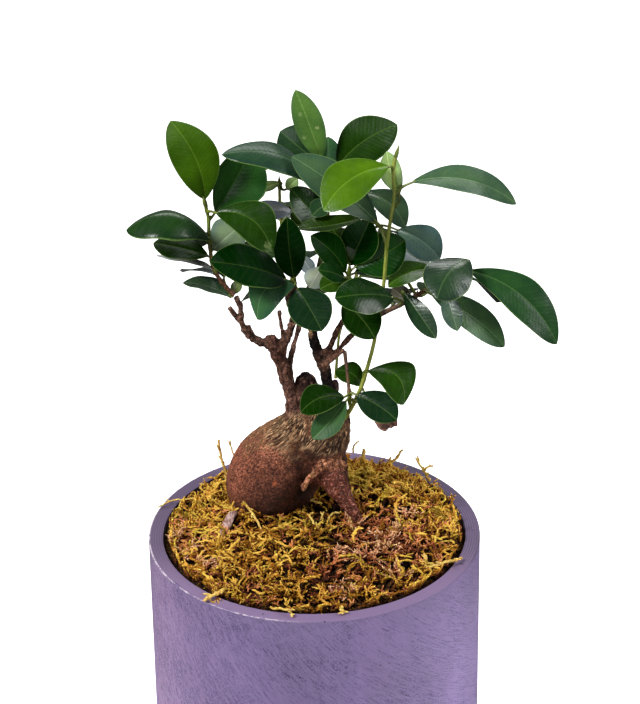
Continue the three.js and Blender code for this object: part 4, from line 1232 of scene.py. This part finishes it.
def stalk_path(row, stem_path):
    base, tip, _, face, arch = row[:5]
    start, along, length, upper, _ = leaf_directions(base, tip, face)
    heading = unit(along + 4 * arch * upper)
    last = len(stem_path) - 1
    share = max(nearest_on(stem_path, start) / last - 0.05, 0.02)
    root = stem_path[int(round(share * last)), :3]
    bend = start - heading * 0.5 * np.linalg.norm(root - start)
    knee = (root + (bend - root) * 0.6) * 0.7 + start * 0.3
    end = start + heading * 0.05 * length - upper * 0.2
    return smooth_path([(*point, radius) for point, radius in zip((root, knee, end), STALK_RADII)], 6)


def stem_and_stalks(shoot):
    stem_path = smooth_path(shoot["stem"], 12)
    stalks = [stalk_path(row, stem_path) for row in shoot["leaves"]]
    buds = []
    for stalk in stalks:
        node = nearest_on(stem_path, stalk[0, :3])
        away = np.linalg.norm(stem_path[:, :3] - stem_path[node, :3], axis=1)
        stem_path[:, 3] += NODE_SWELLING * np.exp(-((away / NODE_REACH) ** 2))
        leave = stalk[3, :3] - stalk[0, :3]
        upward = stem_path[min(node + 2, len(stem_path) - 1), :3] - stem_path[max(node - 2, 0), :3]
        out = unit(unit(leave) + unit(upward))
        root = stem_path[node, :3]
        buds.append(smooth_path([(*(root + out * 0.6), 0.5), (*(root + out * 1.5), 0.48),
                                 (*(root + out * 2.6), 0.1)], 3))
    top = stem_path[-1, :3]
    rising = unit(top - stem_path[-4, :3])
    buds.append(smooth_path([(*top, stem_path[-1, 3]), (*(top + rising * 2), 0.9),
                             (*(top + rising * 6), 0.12)], 4))
    return stem_path, stalks, buds


_, trial_stalks, trial_buds = stem_and_stalks(SHOOTS["shoot_low"])
print("the low shoot has", len(trial_stalks), "stalks and", len(trial_buds), "buds")

# %% Stems: finishes
# The hidden stem is paler than the others: painted light that makes up for the shade of the leaves round it.
STEM_LOOKS = {
    "green_stem": ((112, 128, 48), (84, 92, 40), 0.42),
    "woody_stem": ((112, 80, 56), (62, 42, 34), 0.6),
    "dark_green_stem": ((66, 80, 38), (92, 76, 50), 0.45),
    "yellow_green_stem": ((160, 170, 76), (120, 132, 50), 0.42),
    "hidden_stem": ((190, 200, 110), (150, 164, 84), 0.45, 250 * MM),
    "half_woody_stem": ((104, 124, 44), (62, 76, 30), 0.45, 268 * MM),
}
STEM_OF_SHOOT = {
    "shoot_left": "half_woody_stem", "shoot_middle": "dark_green_stem", "shoot_tall": "yellow_green_stem",
    "shoot_centre": "green_stem", "shoot_right": "woody_stem", "shoot_top": "dark_green_stem",
    "shoot_low": "woody_stem", "shoot_back_right": "yellow_green_stem", "shoot_back_left": "hidden_stem",
}


def stem_finish(name, young, old, roughness, wood_below=None):
    material, tree, shader = principled(name, shade(*young), roughness)
    place = object_place(tree)
    streak = noise_value(tree, stretched(tree, place, (1.0, 1.0, 0.3)), 420.0, 3.0)
    dots = noise_value(tree, place, 1300.0, 1.0)
    colour = two_tones(tree, streak, 0.35, 0.7, shade(*young), shade(*old))
    colour = coats(tree, colour, (ramp_between(tree, dots, 0.62, 0.7), 0.5, (0.3, 0.24, 0.12)))
    if wood_below:
        height = times_plus(tree, streak, 6 * MM, axes_of(tree, place)[2])
        wood = two_tones(tree, dots, 0.5, 0.62, shade(84, 58, 44), shade(150, 96, 60))
        colour = two_tones(tree, height, wood_below, wood_below + 26 * MM, wood, colour)
    set_colour(tree, shader, colour)
    bump(tree, shader, streak, 0.3 * MM, 0.6)
    return material


stem_finishes = {name: stem_finish(name, *look) for name, look in STEM_LOOKS.items()}
print("stem finishes:", list(stem_finishes))

# %% Leaves and stems of every shoot
FIRST_LEAF_SEED = 100


def has_withered(row):
    return row[-1] == "withered"


for number, (shoot_name, shoot) in enumerate(SHOOTS.items()):
    short_name = shoot_name.removeprefix("shoot_")
    leaf_chance = np.random.default_rng(FIRST_LEAF_SEED + number)
    stem_path, stalks, buds = stem_and_stalks(shoot)
    stem_path[:, 3] *= STEM_SLIMNESS
    stem = tubes("stem", [stem_path], roundness=3)
    stem.data.materials.append(stem_finishes[STEM_OF_SHOOT[shoot_name]])
    shorts = tubes("stalks", stalks + buds, roundness=2)
    shorts.data.materials.append(stem_finishes["green_stem"])
    stems = join([stem, shorts], "stems_" + short_name)
    select_only(stems)
    bpy.ops.object.shade_smooth()
    dress(stems, "young_leaf", shoot_name)
    green_rows = [row for row in shoot["leaves"] if not has_withered(row)]
    blades = join([place_blade(row, leaf_chance) for row in green_rows], "leaves_" + short_name)
    for finish in leaf_finishes:
        blades.data.materials.append(finish)
    select_only(blades)
    bpy.ops.object.shade_smooth_by_angle(angle=math.radians(60))
    dress(blades, "leaf", shoot_name)

# %% [markdown]
# One leaf of the low shoot is brown and crumpled. It is the same blade with two smooth noises added
# to its points, a broad one for the folds and a finer one for the wrinkles.

# %% Leaves: the withered one
def withered_leaf_finish():
    material, tree, shader = principled("withered_leaf", shade(104, 70, 56), 0.7)
    wrinkles = noise_value(tree, object_place(tree), 500.0)
    set_colour(tree, shader, two_tones(tree, wrinkles, 0.35, 0.65, shade(70, 44, 36), shade(150, 104, 86)))
    bump(tree, shader, wrinkles, 0.8 * MM)
    return material


WITHERED_SEED = 3
withered_row = next(row for row in SHOOTS["shoot_low"]["leaves"] if has_withered(row))
withered = join([place_blade(withered_row, np.random.default_rng(WITHERED_SEED))], "withered_leaf")
withered_points = vertex_array(withered.data) / MM
folds = rough(withered_points, (4.0, 4.0, 4.0), 2)
withered_points[:, 2] += 1.6 * folds
withered_points[:, 1] += 0.8 * folds
withered_points[:, 2] += 1.3 * rough(withered_points, (1.5, 1.5, 1.5), 2)
write_vertices(withered.data, withered_points * MM)
withered.data.materials.append(withered_leaf_finish())
for face in withered.data.polygons:
    face.material_index = 0
select_only(withered)
bpy.ops.object.shade_smooth()
dress(withered, "dry_leaf", "shoot_low")
bpy.data.objects.remove(blade)

# %% [markdown]
# ## The moss
# The moss is a springy mat of dry sprigs, each a curly stem with short side shoots, tangled at all
# angles. A dark lumpy bed carries them and shows between them. The sprigs are thin tubes with four
# sides, because there are thousands of them. They are of four kinds, coarse and fine golden ones,
# greenish ones and rust brown ones, and each kind grows thickest in patches of its own.

# %% Moss: the bed
SOIL_TOP = 133
SEAT = 0.3
MOSS_THICKNESS = 5
MOSS_DOME = 6
DOME_REACH = 75
MOSS_REACH = 68.1
BED_RINGS = 34
BED_DEPTH = 2
BED_SINK = 2.5
BED_LUMPS = 1.8


def moss_height(x, y):
    fall = (x * x + y * y) / DOME_REACH ** 2
    hills = np.sin(x * 0.23 + 1) * np.cos(y * 0.27) + 0.6 * np.sin(x * 0.11 - y * 0.17)
    back_rise = 3.2 * np.exp(-(((x - 34) / 20) ** 2 + ((y - 30) / 20) ** 2))
    return SOIL_TOP + SEAT + MOSS_THICKNESS + MOSS_DOME * (1 - fall) + hills * (1 - fall * 0.6) + back_rise


deselect_all()
bpy.ops.mesh.primitive_circle_add(vertices=96, radius=MOSS_REACH * MM, fill_type="NGON")
bed = bpy.context.object
bpy.ops.object.mode_set(mode="EDIT")
bpy.ops.mesh.select_all(action="SELECT")
for ring in range(BED_RINGS):
    bpy.ops.mesh.inset(thickness=MOSS_REACH / (BED_RINGS + 1) * MM)
bpy.ops.mesh.select_all(action="SELECT")
bpy.ops.mesh.extrude_region_move(TRANSFORM_OT_translate={"value": (0, 0, -BED_DEPTH * MM)})
bpy.ops.object.mode_set(mode="OBJECT")
bed_points = vertex_array(bed.data) / MM
under = bed_points[:, 2] < -BED_DEPTH / 2
bed_top = moss_height(bed_points[:, 0], bed_points[:, 1]) - BED_SINK
bed_top += BED_LUMPS * rough(bed_points * (1, 1, 0), (2.6, 2.6, 2.6), 3)
bed_points[:, 2] = np.where(under, SOIL_TOP + 0.6 * SEAT, bed_top)
write_vertices(bed.data, bed_points * MM)
bpy.ops.object.mode_set(mode="EDIT")
bpy.ops.mesh.select_all(action="SELECT")
bpy.ops.mesh.normals_make_consistent(inside=False)
bpy.ops.object.mode_set(mode="OBJECT")
bpy.ops.object.shade_smooth()
bed.name = "moss_bed"
print("moss bed points:", len(bed_points))

# %% Moss: finish of the bed
def bed_finish():
    material, tree, shader = principled("moss_bed", (0.03, 0.02, 0.006), 0.95)
    shader.inputs["Specular IOR Level"].default_value = 0.0
    tangle = noise_value(tree, object_place(tree), 420.0, 5.0, 0.75)
    # Painted shade: the bed is dark brown, as the gaps deep between the sprigs are.
    set_colour(tree, shader, two_tones(tree, tangle, 0.45, 0.75, (0.02, 0.01, 0.004), (0.15, 0.09, 0.03)))
    bump(tree, shader, tangle, 1.5 * MM)
    return material


bed.data.materials.append(bed_finish())
dress(bed, "moss", "moss")

# %% Moss: one sprig
SPRIG_POINTS = 9
SPRIG_CURL = 0.24
BEAD = 0.28


def wandering(start, heading, climb, length, radius, chance):
    step = length / (SPRIG_POINTS - 1)
    direction = Vector((math.cos(heading) * math.cos(climb), math.sin(heading) * math.cos(climb),
                        math.sin(climb)))
    axis = Vector(chance.normal(0, 1, 3)).normalized()
    place = Vector(start)
    places = [tuple(place)]
    for _ in range(SPRIG_POINTS - 1):
        direction = Matrix.Rotation(SPRIG_CURL * step * chance.uniform(0.2, 1.6), 3, axis) @ direction
        axis = (axis + Vector(chance.normal(0, 0.35, 3))).normalized()
        place = place + direction * step
        places.append(tuple(place))
    beads = 1 + BEAD * np.where(np.arange(SPRIG_POINTS) % 2, 1, -1)
    radii = radius * np.linspace(1, 0.55, SPRIG_POINTS) * beads
    radii[-1] *= 0.5
    return np.column_stack([places, radii])


def side_twigs(main, count, reaches, chance):
    twigs = []
    for number in range(count):
        at = 1 + int((number + chance.uniform(0, 1)) / count * (len(main) - 2))
        ahead = unit(main[at + 1, :3] - main[at - 1, :3])
        side = np.cross(ahead, chance.normal(0, 0.5, 3) + (0, 0, 1))
        side *= (1 if number % 2 else -1) / np.linalg.norm(side)
        out = ahead * 0.6 + side * 0.8 + (0, 0, chance.uniform(-0.1, 0.5))
        reach = chance.uniform(*reaches)
        root, radius = main[at, :3], main[at, 3]
        tip = root + (0.8 * out + 0.5 * ahead + chance.normal(0, 0.25, 3)) * reach
        twigs.append(np.array([(*root, 0.85 * radius), (*(root + out * 0.55 * reach), 0.85 * radius),
                               (*tip, 0.5 * radius)]))
    return twigs


def sprig(start, heading, climb, length, radius, chance, twigs):
    main = wandering(start, heading, climb, length, radius, chance)
    return [main] + side_twigs(main, twigs, (1.2, 0.2 * length + 1.2), chance)


trial = np.random.default_rng(1)
print("a sprig has", len(sprig(np.zeros(3), 0, 0.4, 9, 0.5, trial, 6)), "parts")

# %% [markdown]
# A sprig's place is drawn at random and kept or dropped by two things: how much of its kind grows
# there, and how well that place is lit. The moss is brightest at the back right and dimmest in the
# hollow beside the root, so the same measure also paints light on the sprigs where it is high and
# shade where it is low. Each sprig is then settled: kept inside the wall, pressed down where it
# stands too high, and given a tone at every point, with painted shade where it lies deep in the mat.

# %% Moss: patches and light
RUST_SPOTS = ((34, -22, 20), (8, -40, 14), (44, 6, 12), (-52, -6, 12), (18, -14, 12), (-30, -50, 9))
GREEN_SPOTS = ((-55, 10, 18), (24, 40, 14), (-10, 56, 24), (58, 8, 16), (0, 4, 16))
RUST_EVERYWHERE = 0.08
GREEN_EVERYWHERE = 0.12


def share_in(x, y, spots, least):
    return min(1.0, least + sum(math.exp(-((x - a) ** 2 + (y - b) ** 2) / r ** 2) for a, b, r in spots))


def rust_patch(x, y):
    return share_in(x, y, RUST_SPOTS, RUST_EVERYWHERE)


def green_patch(x, y):
    return share_in(x, y, GREEN_SPOTS, GREEN_EVERYWHERE)


def golden_patch(x, y):
    return 1.0 - 0.6 * min(1.0, rust_patch(x, y) - RUST_EVERYWHERE)


def bell(x, y, across, depth, wide, deep):
    return math.exp(-(((x - across) / wide) ** 2 + ((y - depth) / deep) ** 2))


def glow(x, y):
    # Painted light and shade on the moss: lighter at the back and at the left, darker in the hollow beside
    # the root, along the front and at the front right.
    lit_back = 1.4 * bell(x, y, 28, 52, 24, 15)
    lit_left = 0.4 * bell(x, y, -50, 2, 15, 22)
    hollow = bell(x, y, 3, 8, 9, 9)
    front = share_of(-y, 20, 45) * math.exp(-(((x + 8) / 40) ** 2))
    dim_right = 0.3 * bell(x, y, 30, -22, 22, 20)
    return lit_back + lit_left - hollow - 0.25 * front - dim_right


print("glow at the back:", round(glow(28, 52), 2), "in the hollow:", round(glow(3, 8), 2))

# %% Moss: where the sprigs grow
ROOT_MIDDLE = (-20, 24)
ROOT_HALF = (18, 17)
ROOT_GAP = 1.5
WALL_REACH = 67.2
SPRIG_TOP = 1.5
ROOTING_DEPTH = 3.8
OUTWARD_POWER = 0.43


def outside_root(x, y, gap):
    wide, deep = ROOT_HALF[0] + gap, ROOT_HALF[1] + gap
    dx, dy = (x - ROOT_MIDDLE[0]) / wide, (y - ROOT_MIDDLE[1]) / deep
    reach = math.hypot(dx, dy)
    if reach < 1:
        reach = max(reach, 0.05)
        x, y = ROOT_MIDDLE[0] + dx / reach * wide, ROOT_MIDDLE[1] + dy / reach * deep
    return x, y


def settle(paths, tone):
    tones = []
    for path in paths:
        reach = np.hypot(path[:, 0], path[:, 1]).clip(1)
        path[:, :2] *= np.minimum(1, (WALL_REACH - path[:, 3] - 2.6 * tone) / reach)[:, None]
        top = moss_height(path[:, 0], path[:, 1])
        above = path[:, 2] - top
        path[:, 2] = top + np.where(above > SPRIG_TOP, SPRIG_TOP + (above - SPRIG_TOP) * 0.5, above)
        # Painted shade: the deeper a point lies in the mat, the darker its tone.
        lit = share_of(path[:, 2] - top, -4, 2.5)
        along = np.linspace(-0.1, 0.16, len(path))
        tones.append(np.clip((tone + along) * 0.6 + 0.4 * lit, 0, 1) * (0.12 + 0.88 * lit))
    return tones


def sprigs_of(count, seed, radius_range, length_range, patch, lift):
    chance = np.random.default_rng(seed)
    paths = []
    tones = []
    grown = 0
    while grown < count:
        out = MOSS_REACH * chance.uniform(0, 1) ** OUTWARD_POWER
        angle = chance.uniform(0, 2 * math.pi)
        x, y = out * math.cos(angle), out * math.sin(angle)
        if chance.uniform() > patch(x, y) * min(1, 1 + 0.7 * glow(x, y)):
            continue
        x, y = outside_root(x, y, ROOT_GAP)
        heading = chance.uniform(0, 2 * math.pi)
        length = chance.uniform(*length_range)
        climb = chance.uniform(-0.3, 0.9)
        height = moss_height(x, y) - ROOTING_DEPTH + lift * chance.uniform(-0.5, 1.0)
        start = np.array([x, y, height]) - 0.4 * length * np.array([math.cos(heading), math.sin(heading), 0])
        radius = chance.uniform(*radius_range)
        new_paths = sprig(start, heading, climb, length, radius, chance, int(chance.integers(3, 6)))
        # Painted light and shade: the glow of the place lightens or darkens the sprig's tone.
        tones += settle(new_paths, max(0, chance.beta(1.4, 1.7) + 0.75 * glow(x, y)))
        paths += new_paths
        grown += 1
    return paths, tones


few_paths, few_tones = sprigs_of(3, 1, (0.5, 0.7), (7, 14), golden_patch, 5.0)
print("three sprigs have", len(few_paths), "parts, tones up to", round(max(map(np.max, few_tones)), 2))

# %% Moss: the kinds of sprigs
TUBE_CORNERS = 4
GOLDEN = (shade(82, 42, 8), shade(166, 109, 22), shade(244, 196, 86))
GREEN = (shade(70, 48, 8), shade(142, 107, 20), shade(232, 196, 82))
RUST = (shade(58, 26, 16), shade(132, 68, 36), shade(226, 148, 96))
SALMON = (shade(114, 60, 42), shade(200, 128, 90), shade(255, 208, 160))
STRAW = (shade(96, 62, 16), shade(176, 132, 44), shade(236, 200, 110))
MOSS_KINDS = {
    "moss_golden_a": ((600, 11, (0.6, 0.88), (9, 18), golden_patch, 5.0), GOLDEN),
    "moss_golden_b": ((1150, 12, (0.46, 0.7), (7, 14), golden_patch, 5.0), GOLDEN),
    "moss_green": ((700, 13, (0.46, 0.7), (8, 15), green_patch, 4.6), GREEN),
    "moss_rust": ((1150, 14, (0.42, 0.64), (6, 11), rust_patch, 4.4), RUST),
}


def sprig_finish(name, dark, mid, light):
    material, tree, shader = principled(name, mid, 0.7)
    shader.inputs["Specular IOR Level"].default_value = 0.2
    place = object_place(tree)
    fine = noise_value(tree, place, 1700.0, 2.0)
    level = times_plus(tree, maths(tree, "SUBTRACT", fine, 0.5), 1.15, carried(tree, "strand_tone_and_shading"))
    colour = two_tones(tree, level, 0.02, 0.34, (0.008, 0.004, 0.002), dark)
    colour = two_tones(tree, level, 0.28, 0.6, colour, mid)
    colour = two_tones(tree, level, 0.56, 0.86, colour, light)
    hue = noise_value(tree, place, 150.0, 3.0)
    olive = multiplied(tree, colour, (0.82, 0.88, 0.5))
    brown = multiplied(tree, colour, (0.88, 0.64, 0.5))
    colour = coats(tree, colour, (ramp_between(tree, hue, 0.52, 0.66), 0.8, olive),
                   (ramp_between(tree, hue, 0.46, 0.32), 0.8, brown))
    set_colour(tree, shader, colour)
    bump(tree, shader, fine, 0.5 * MM, 0.9)
    return material


def mat_of(name, paths, tones, colours):
    mat = tubes(name, paths, roundness=0)
    cap_tones = [tone[[-1, 0]] for tone in tones]
    layer = mat.data.attributes.new("strand_tone_and_shading", "FLOAT", "POINT")
    layer.data.foreach_set("value", np.repeat(np.concatenate(cap_tones + tones), TUBE_CORNERS))
    mat.data.materials.append(sprig_finish(name, *colours))
    dress(mat, "moss", "moss")


for name, (growth, colours) in MOSS_KINDS.items():
    mat_of(name, *sprigs_of(*growth), colours)

# %% [markdown]
# Nineteen sprigs are plain to see in the photograph and stand where it shows them: thin upright
# ones at the back, some beside the root and some that lie over the rim. Fluffy rust brown and
# golden tufts break up the even mat, where the photograph shows such clumps.

# %% Moss: single sprigs
SINGLE_SPRIGS = [
    ([(-32.0, 2.5, 155.0), (-28.0, 0.0, 150.2), (-23.6, -5.0, 144.2)], 0.75, 2),
    ([(18.5, 50.0, 152.9), (19.0, 50.0, 156.1), (21.3, 50.0, 158.7)], 0.5, 0),
    ([(-6.9, 6.5, 146.0), (-4.1, 4.7, 147.0), (-1.0, -0.7, 146.5), (0.8, -4.5, 144.0)], 0.7, 1),
    ([(8.0, -4.7, 144.0), (6.7, 0.8, 146.0), (9.0, 4.3, 147.0), (11.3, 5.1, 146.5)], 0.65, 1),
    ([(14.7, 17.6, 146.5), (16.3, 6.8, 147.0), (17.4, -7.5, 145.0)], 0.7, 2),
    ([(1.7, -5.4, 144.0), (3.1, -0.0, 146.0), (4.5, 5.4, 147.0)], 0.6, 3),
    ([(-6.9, 20.0, 147.0), (-2.7, 16.3, 147.0), (3.7, 13.4, 147.0)], 0.55, 4),
    ([(22.7, 52, 142), (23.2, 52, 147.4), (23.7, 52, 153.3)], 0.95, 3),
    ([(32.6, 54, 142.3), (37.8, 54, 145.5), (41.5, 54, 151.3)], 0.7, 1),
    ([(54.8, 44, 134.2), (53.3, 44, 141.8), (50.5, 44, 147.2), (47.7, 44, 152.6)], 0.7, 4),
    ([(51.4, 44, 145.5), (53.3, 44, 147.7), (55.6, 44, 148.2)], 0.6, 1),
    ([(-37.9, 30, 144.9), (-40.4, 30, 154.5), (-42, 30, 160.9), (-43.5, 30, 171.4)], 0.8, 5),
    ([(-35, 34, 151.1), (-36.6, 34, 161.2), (-38.7, 34, 168.6)], 0.55, 2),
    ([(-53, 24.5, 144.2), (-59.5, 25.3, 143), (-65.5, 25.4, 142.2), (-71.8, 22, 141.2)], 0.5, 2),
    ([(-38.8, -51, 142.8), (-43.9, -55.8, 142.2), (-48.1, -58.9, 141.2)], 1.0, 6),
    ([(65.5, -27.2, 141.6), (57.2, -33.7, 143), (48.3, -36, 142)], 0.75, 8),
    ([(50.1, -33.5, 142.5), (48.7, -25.1, 142.6)], 0.6, 4),
    ([(-19.4, -65.1, 141), (-11.2, -68.5, 141.8), (-9.9, -72.3, 141)], 0.7, 5),
    ([(10.8, -64.3, 141.4), (12, -70.7, 141.4)], 0.8, 4),
]
SINGLE_SEED = 40
single_chance = np.random.default_rng(SINGLE_SEED)
single_paths = []
for points, radius, twigs in SINGLE_SPRIGS:
    main = smooth_path([(*point, radius) for point in points], 6)
    main[:, :3] += single_chance.normal(0, 0.15, (len(main), 3))
    main[:, 3] *= np.linspace(1, 0.75, len(main))
    single_paths += [main] + side_twigs(main, twigs, (1.2, 2.6), single_chance)
single_tones = [np.linspace(0.66, 0.95, len(path)) for path in single_paths]
mat_of("moss_single", single_paths, single_tones, STRAW)

# %% Moss: tufts
RUST_TUFTS = [(22.3, -30), (31.9, -20), (36.9, -4.7), (13, -54.6), (7, -26), (17, 0), (-55.6, -17.8),
              (-48.5, -32.4), (-61.4, -6.4), (35.4, -38.8), (43.7, 8.4), (26, -26), (34, -12)]
GOLDEN_TUFTS = [(37.5, 31), (45, 23), (47, -2), (52, 15), (57, 18), (31, 49), (24.5, 48), (41, 40), (36, 16),
                (54, -3), (-32.6, -52), (-40, -48), (-23, -47), (-13, -55), (-47.5, 11.8), (-43, -17),
                (-6.4, -31), (-29, -18), (48, 32), (16, 52), (-52, 2), (-35, -36)]


def tufts_at(places, count, lengths, rise, seed):
    chance = np.random.default_rng(seed)
    paths = []
    for x, y in places:
        for _ in range(count):
            start = np.array([x, y, moss_height(x, y) + rise]) + chance.normal(0, 1, 3) * (2.4, 2.4, 0.5)
            paths += sprig(start, chance.uniform(0, 6.3), chance.uniform(0.4, 1.3), chance.uniform(*lengths),
                           chance.uniform(0.42, 0.62), chance, 4)
    return paths, [np.linspace(0.15, 0.9, len(path)) for path in paths]


mat_of("moss_rust_tufts", *tufts_at(RUST_TUFTS, 11, (4, 7), -0.2, 40), SALMON)
mat_of("moss_golden_tufts", *tufts_at(GOLDEN_TUFTS, 9, (6, 10), -1.2, 41), GOLDEN)

# %% [markdown]
# A pale dry flake lies on the moss at the left of the root. It is a small grid, narrowed at both
# ends, that droops from the root towards the rim.

# %% Moss: the dry flake
FLAKE_START = np.array((-34.8, 10.5, 146.5))
FLAKE_END = np.array((-43.4, -13.5, 145.0))
FLAKE_HALF_WIDTH = 2.1

deselect_all()
bpy.ops.mesh.primitive_grid_add(x_subdivisions=6, y_subdivisions=18, size=2)
flake = bpy.context.object
flake_grid = vertex_array(flake.data)
flake_along = (flake_grid[:, 1:2] + 1) / 2
flake_width = FLAKE_HALF_WIDTH * np.sin(math.pi * (0.06 + 0.88 * flake_along)) ** 0.7
flake_reach = FLAKE_END - FLAKE_START
flake_side = unit(np.cross(flake_reach, (0, 0, 1)))
flake_points = FLAKE_START + flake_reach * flake_along + flake_side * flake_width * flake_grid[:, :1]
flake_points[:, 2] += 1.8 * np.sin(5 * flake_along[:, 0]) + 0.9 * rough(flake_points, (3.0, 3.0, 3.0), 2)
flake_points[:, 2] -= 0.9 * flake_grid[:, 0] ** 2
write_vertices(flake.data, flake_points * MM)
apply_modifier(flake, "SOLIDIFY", thickness=0.4 * MM, offset=0)
bpy.ops.object.shade_smooth()
flake.name = "dry_flake"


def flake_finish():
    material, tree, shader = principled("dry_flake", (0.3, 0.2, 0.19), 0.8)
    fibre = noise_value(tree, stretched(tree, object_place(tree), (1.0, 0.25, 1.0)), 900.0, 3.0)
    set_colour(tree, shader, two_tones(tree, fibre, 0.35, 0.65, shade(112, 78, 64), shade(196, 164, 158)))
    bump(tree, shader, fibre, 0.4 * MM)
    return material


flake.data.materials.append(flake_finish())
dress(flake, "dry_leaf", "moss")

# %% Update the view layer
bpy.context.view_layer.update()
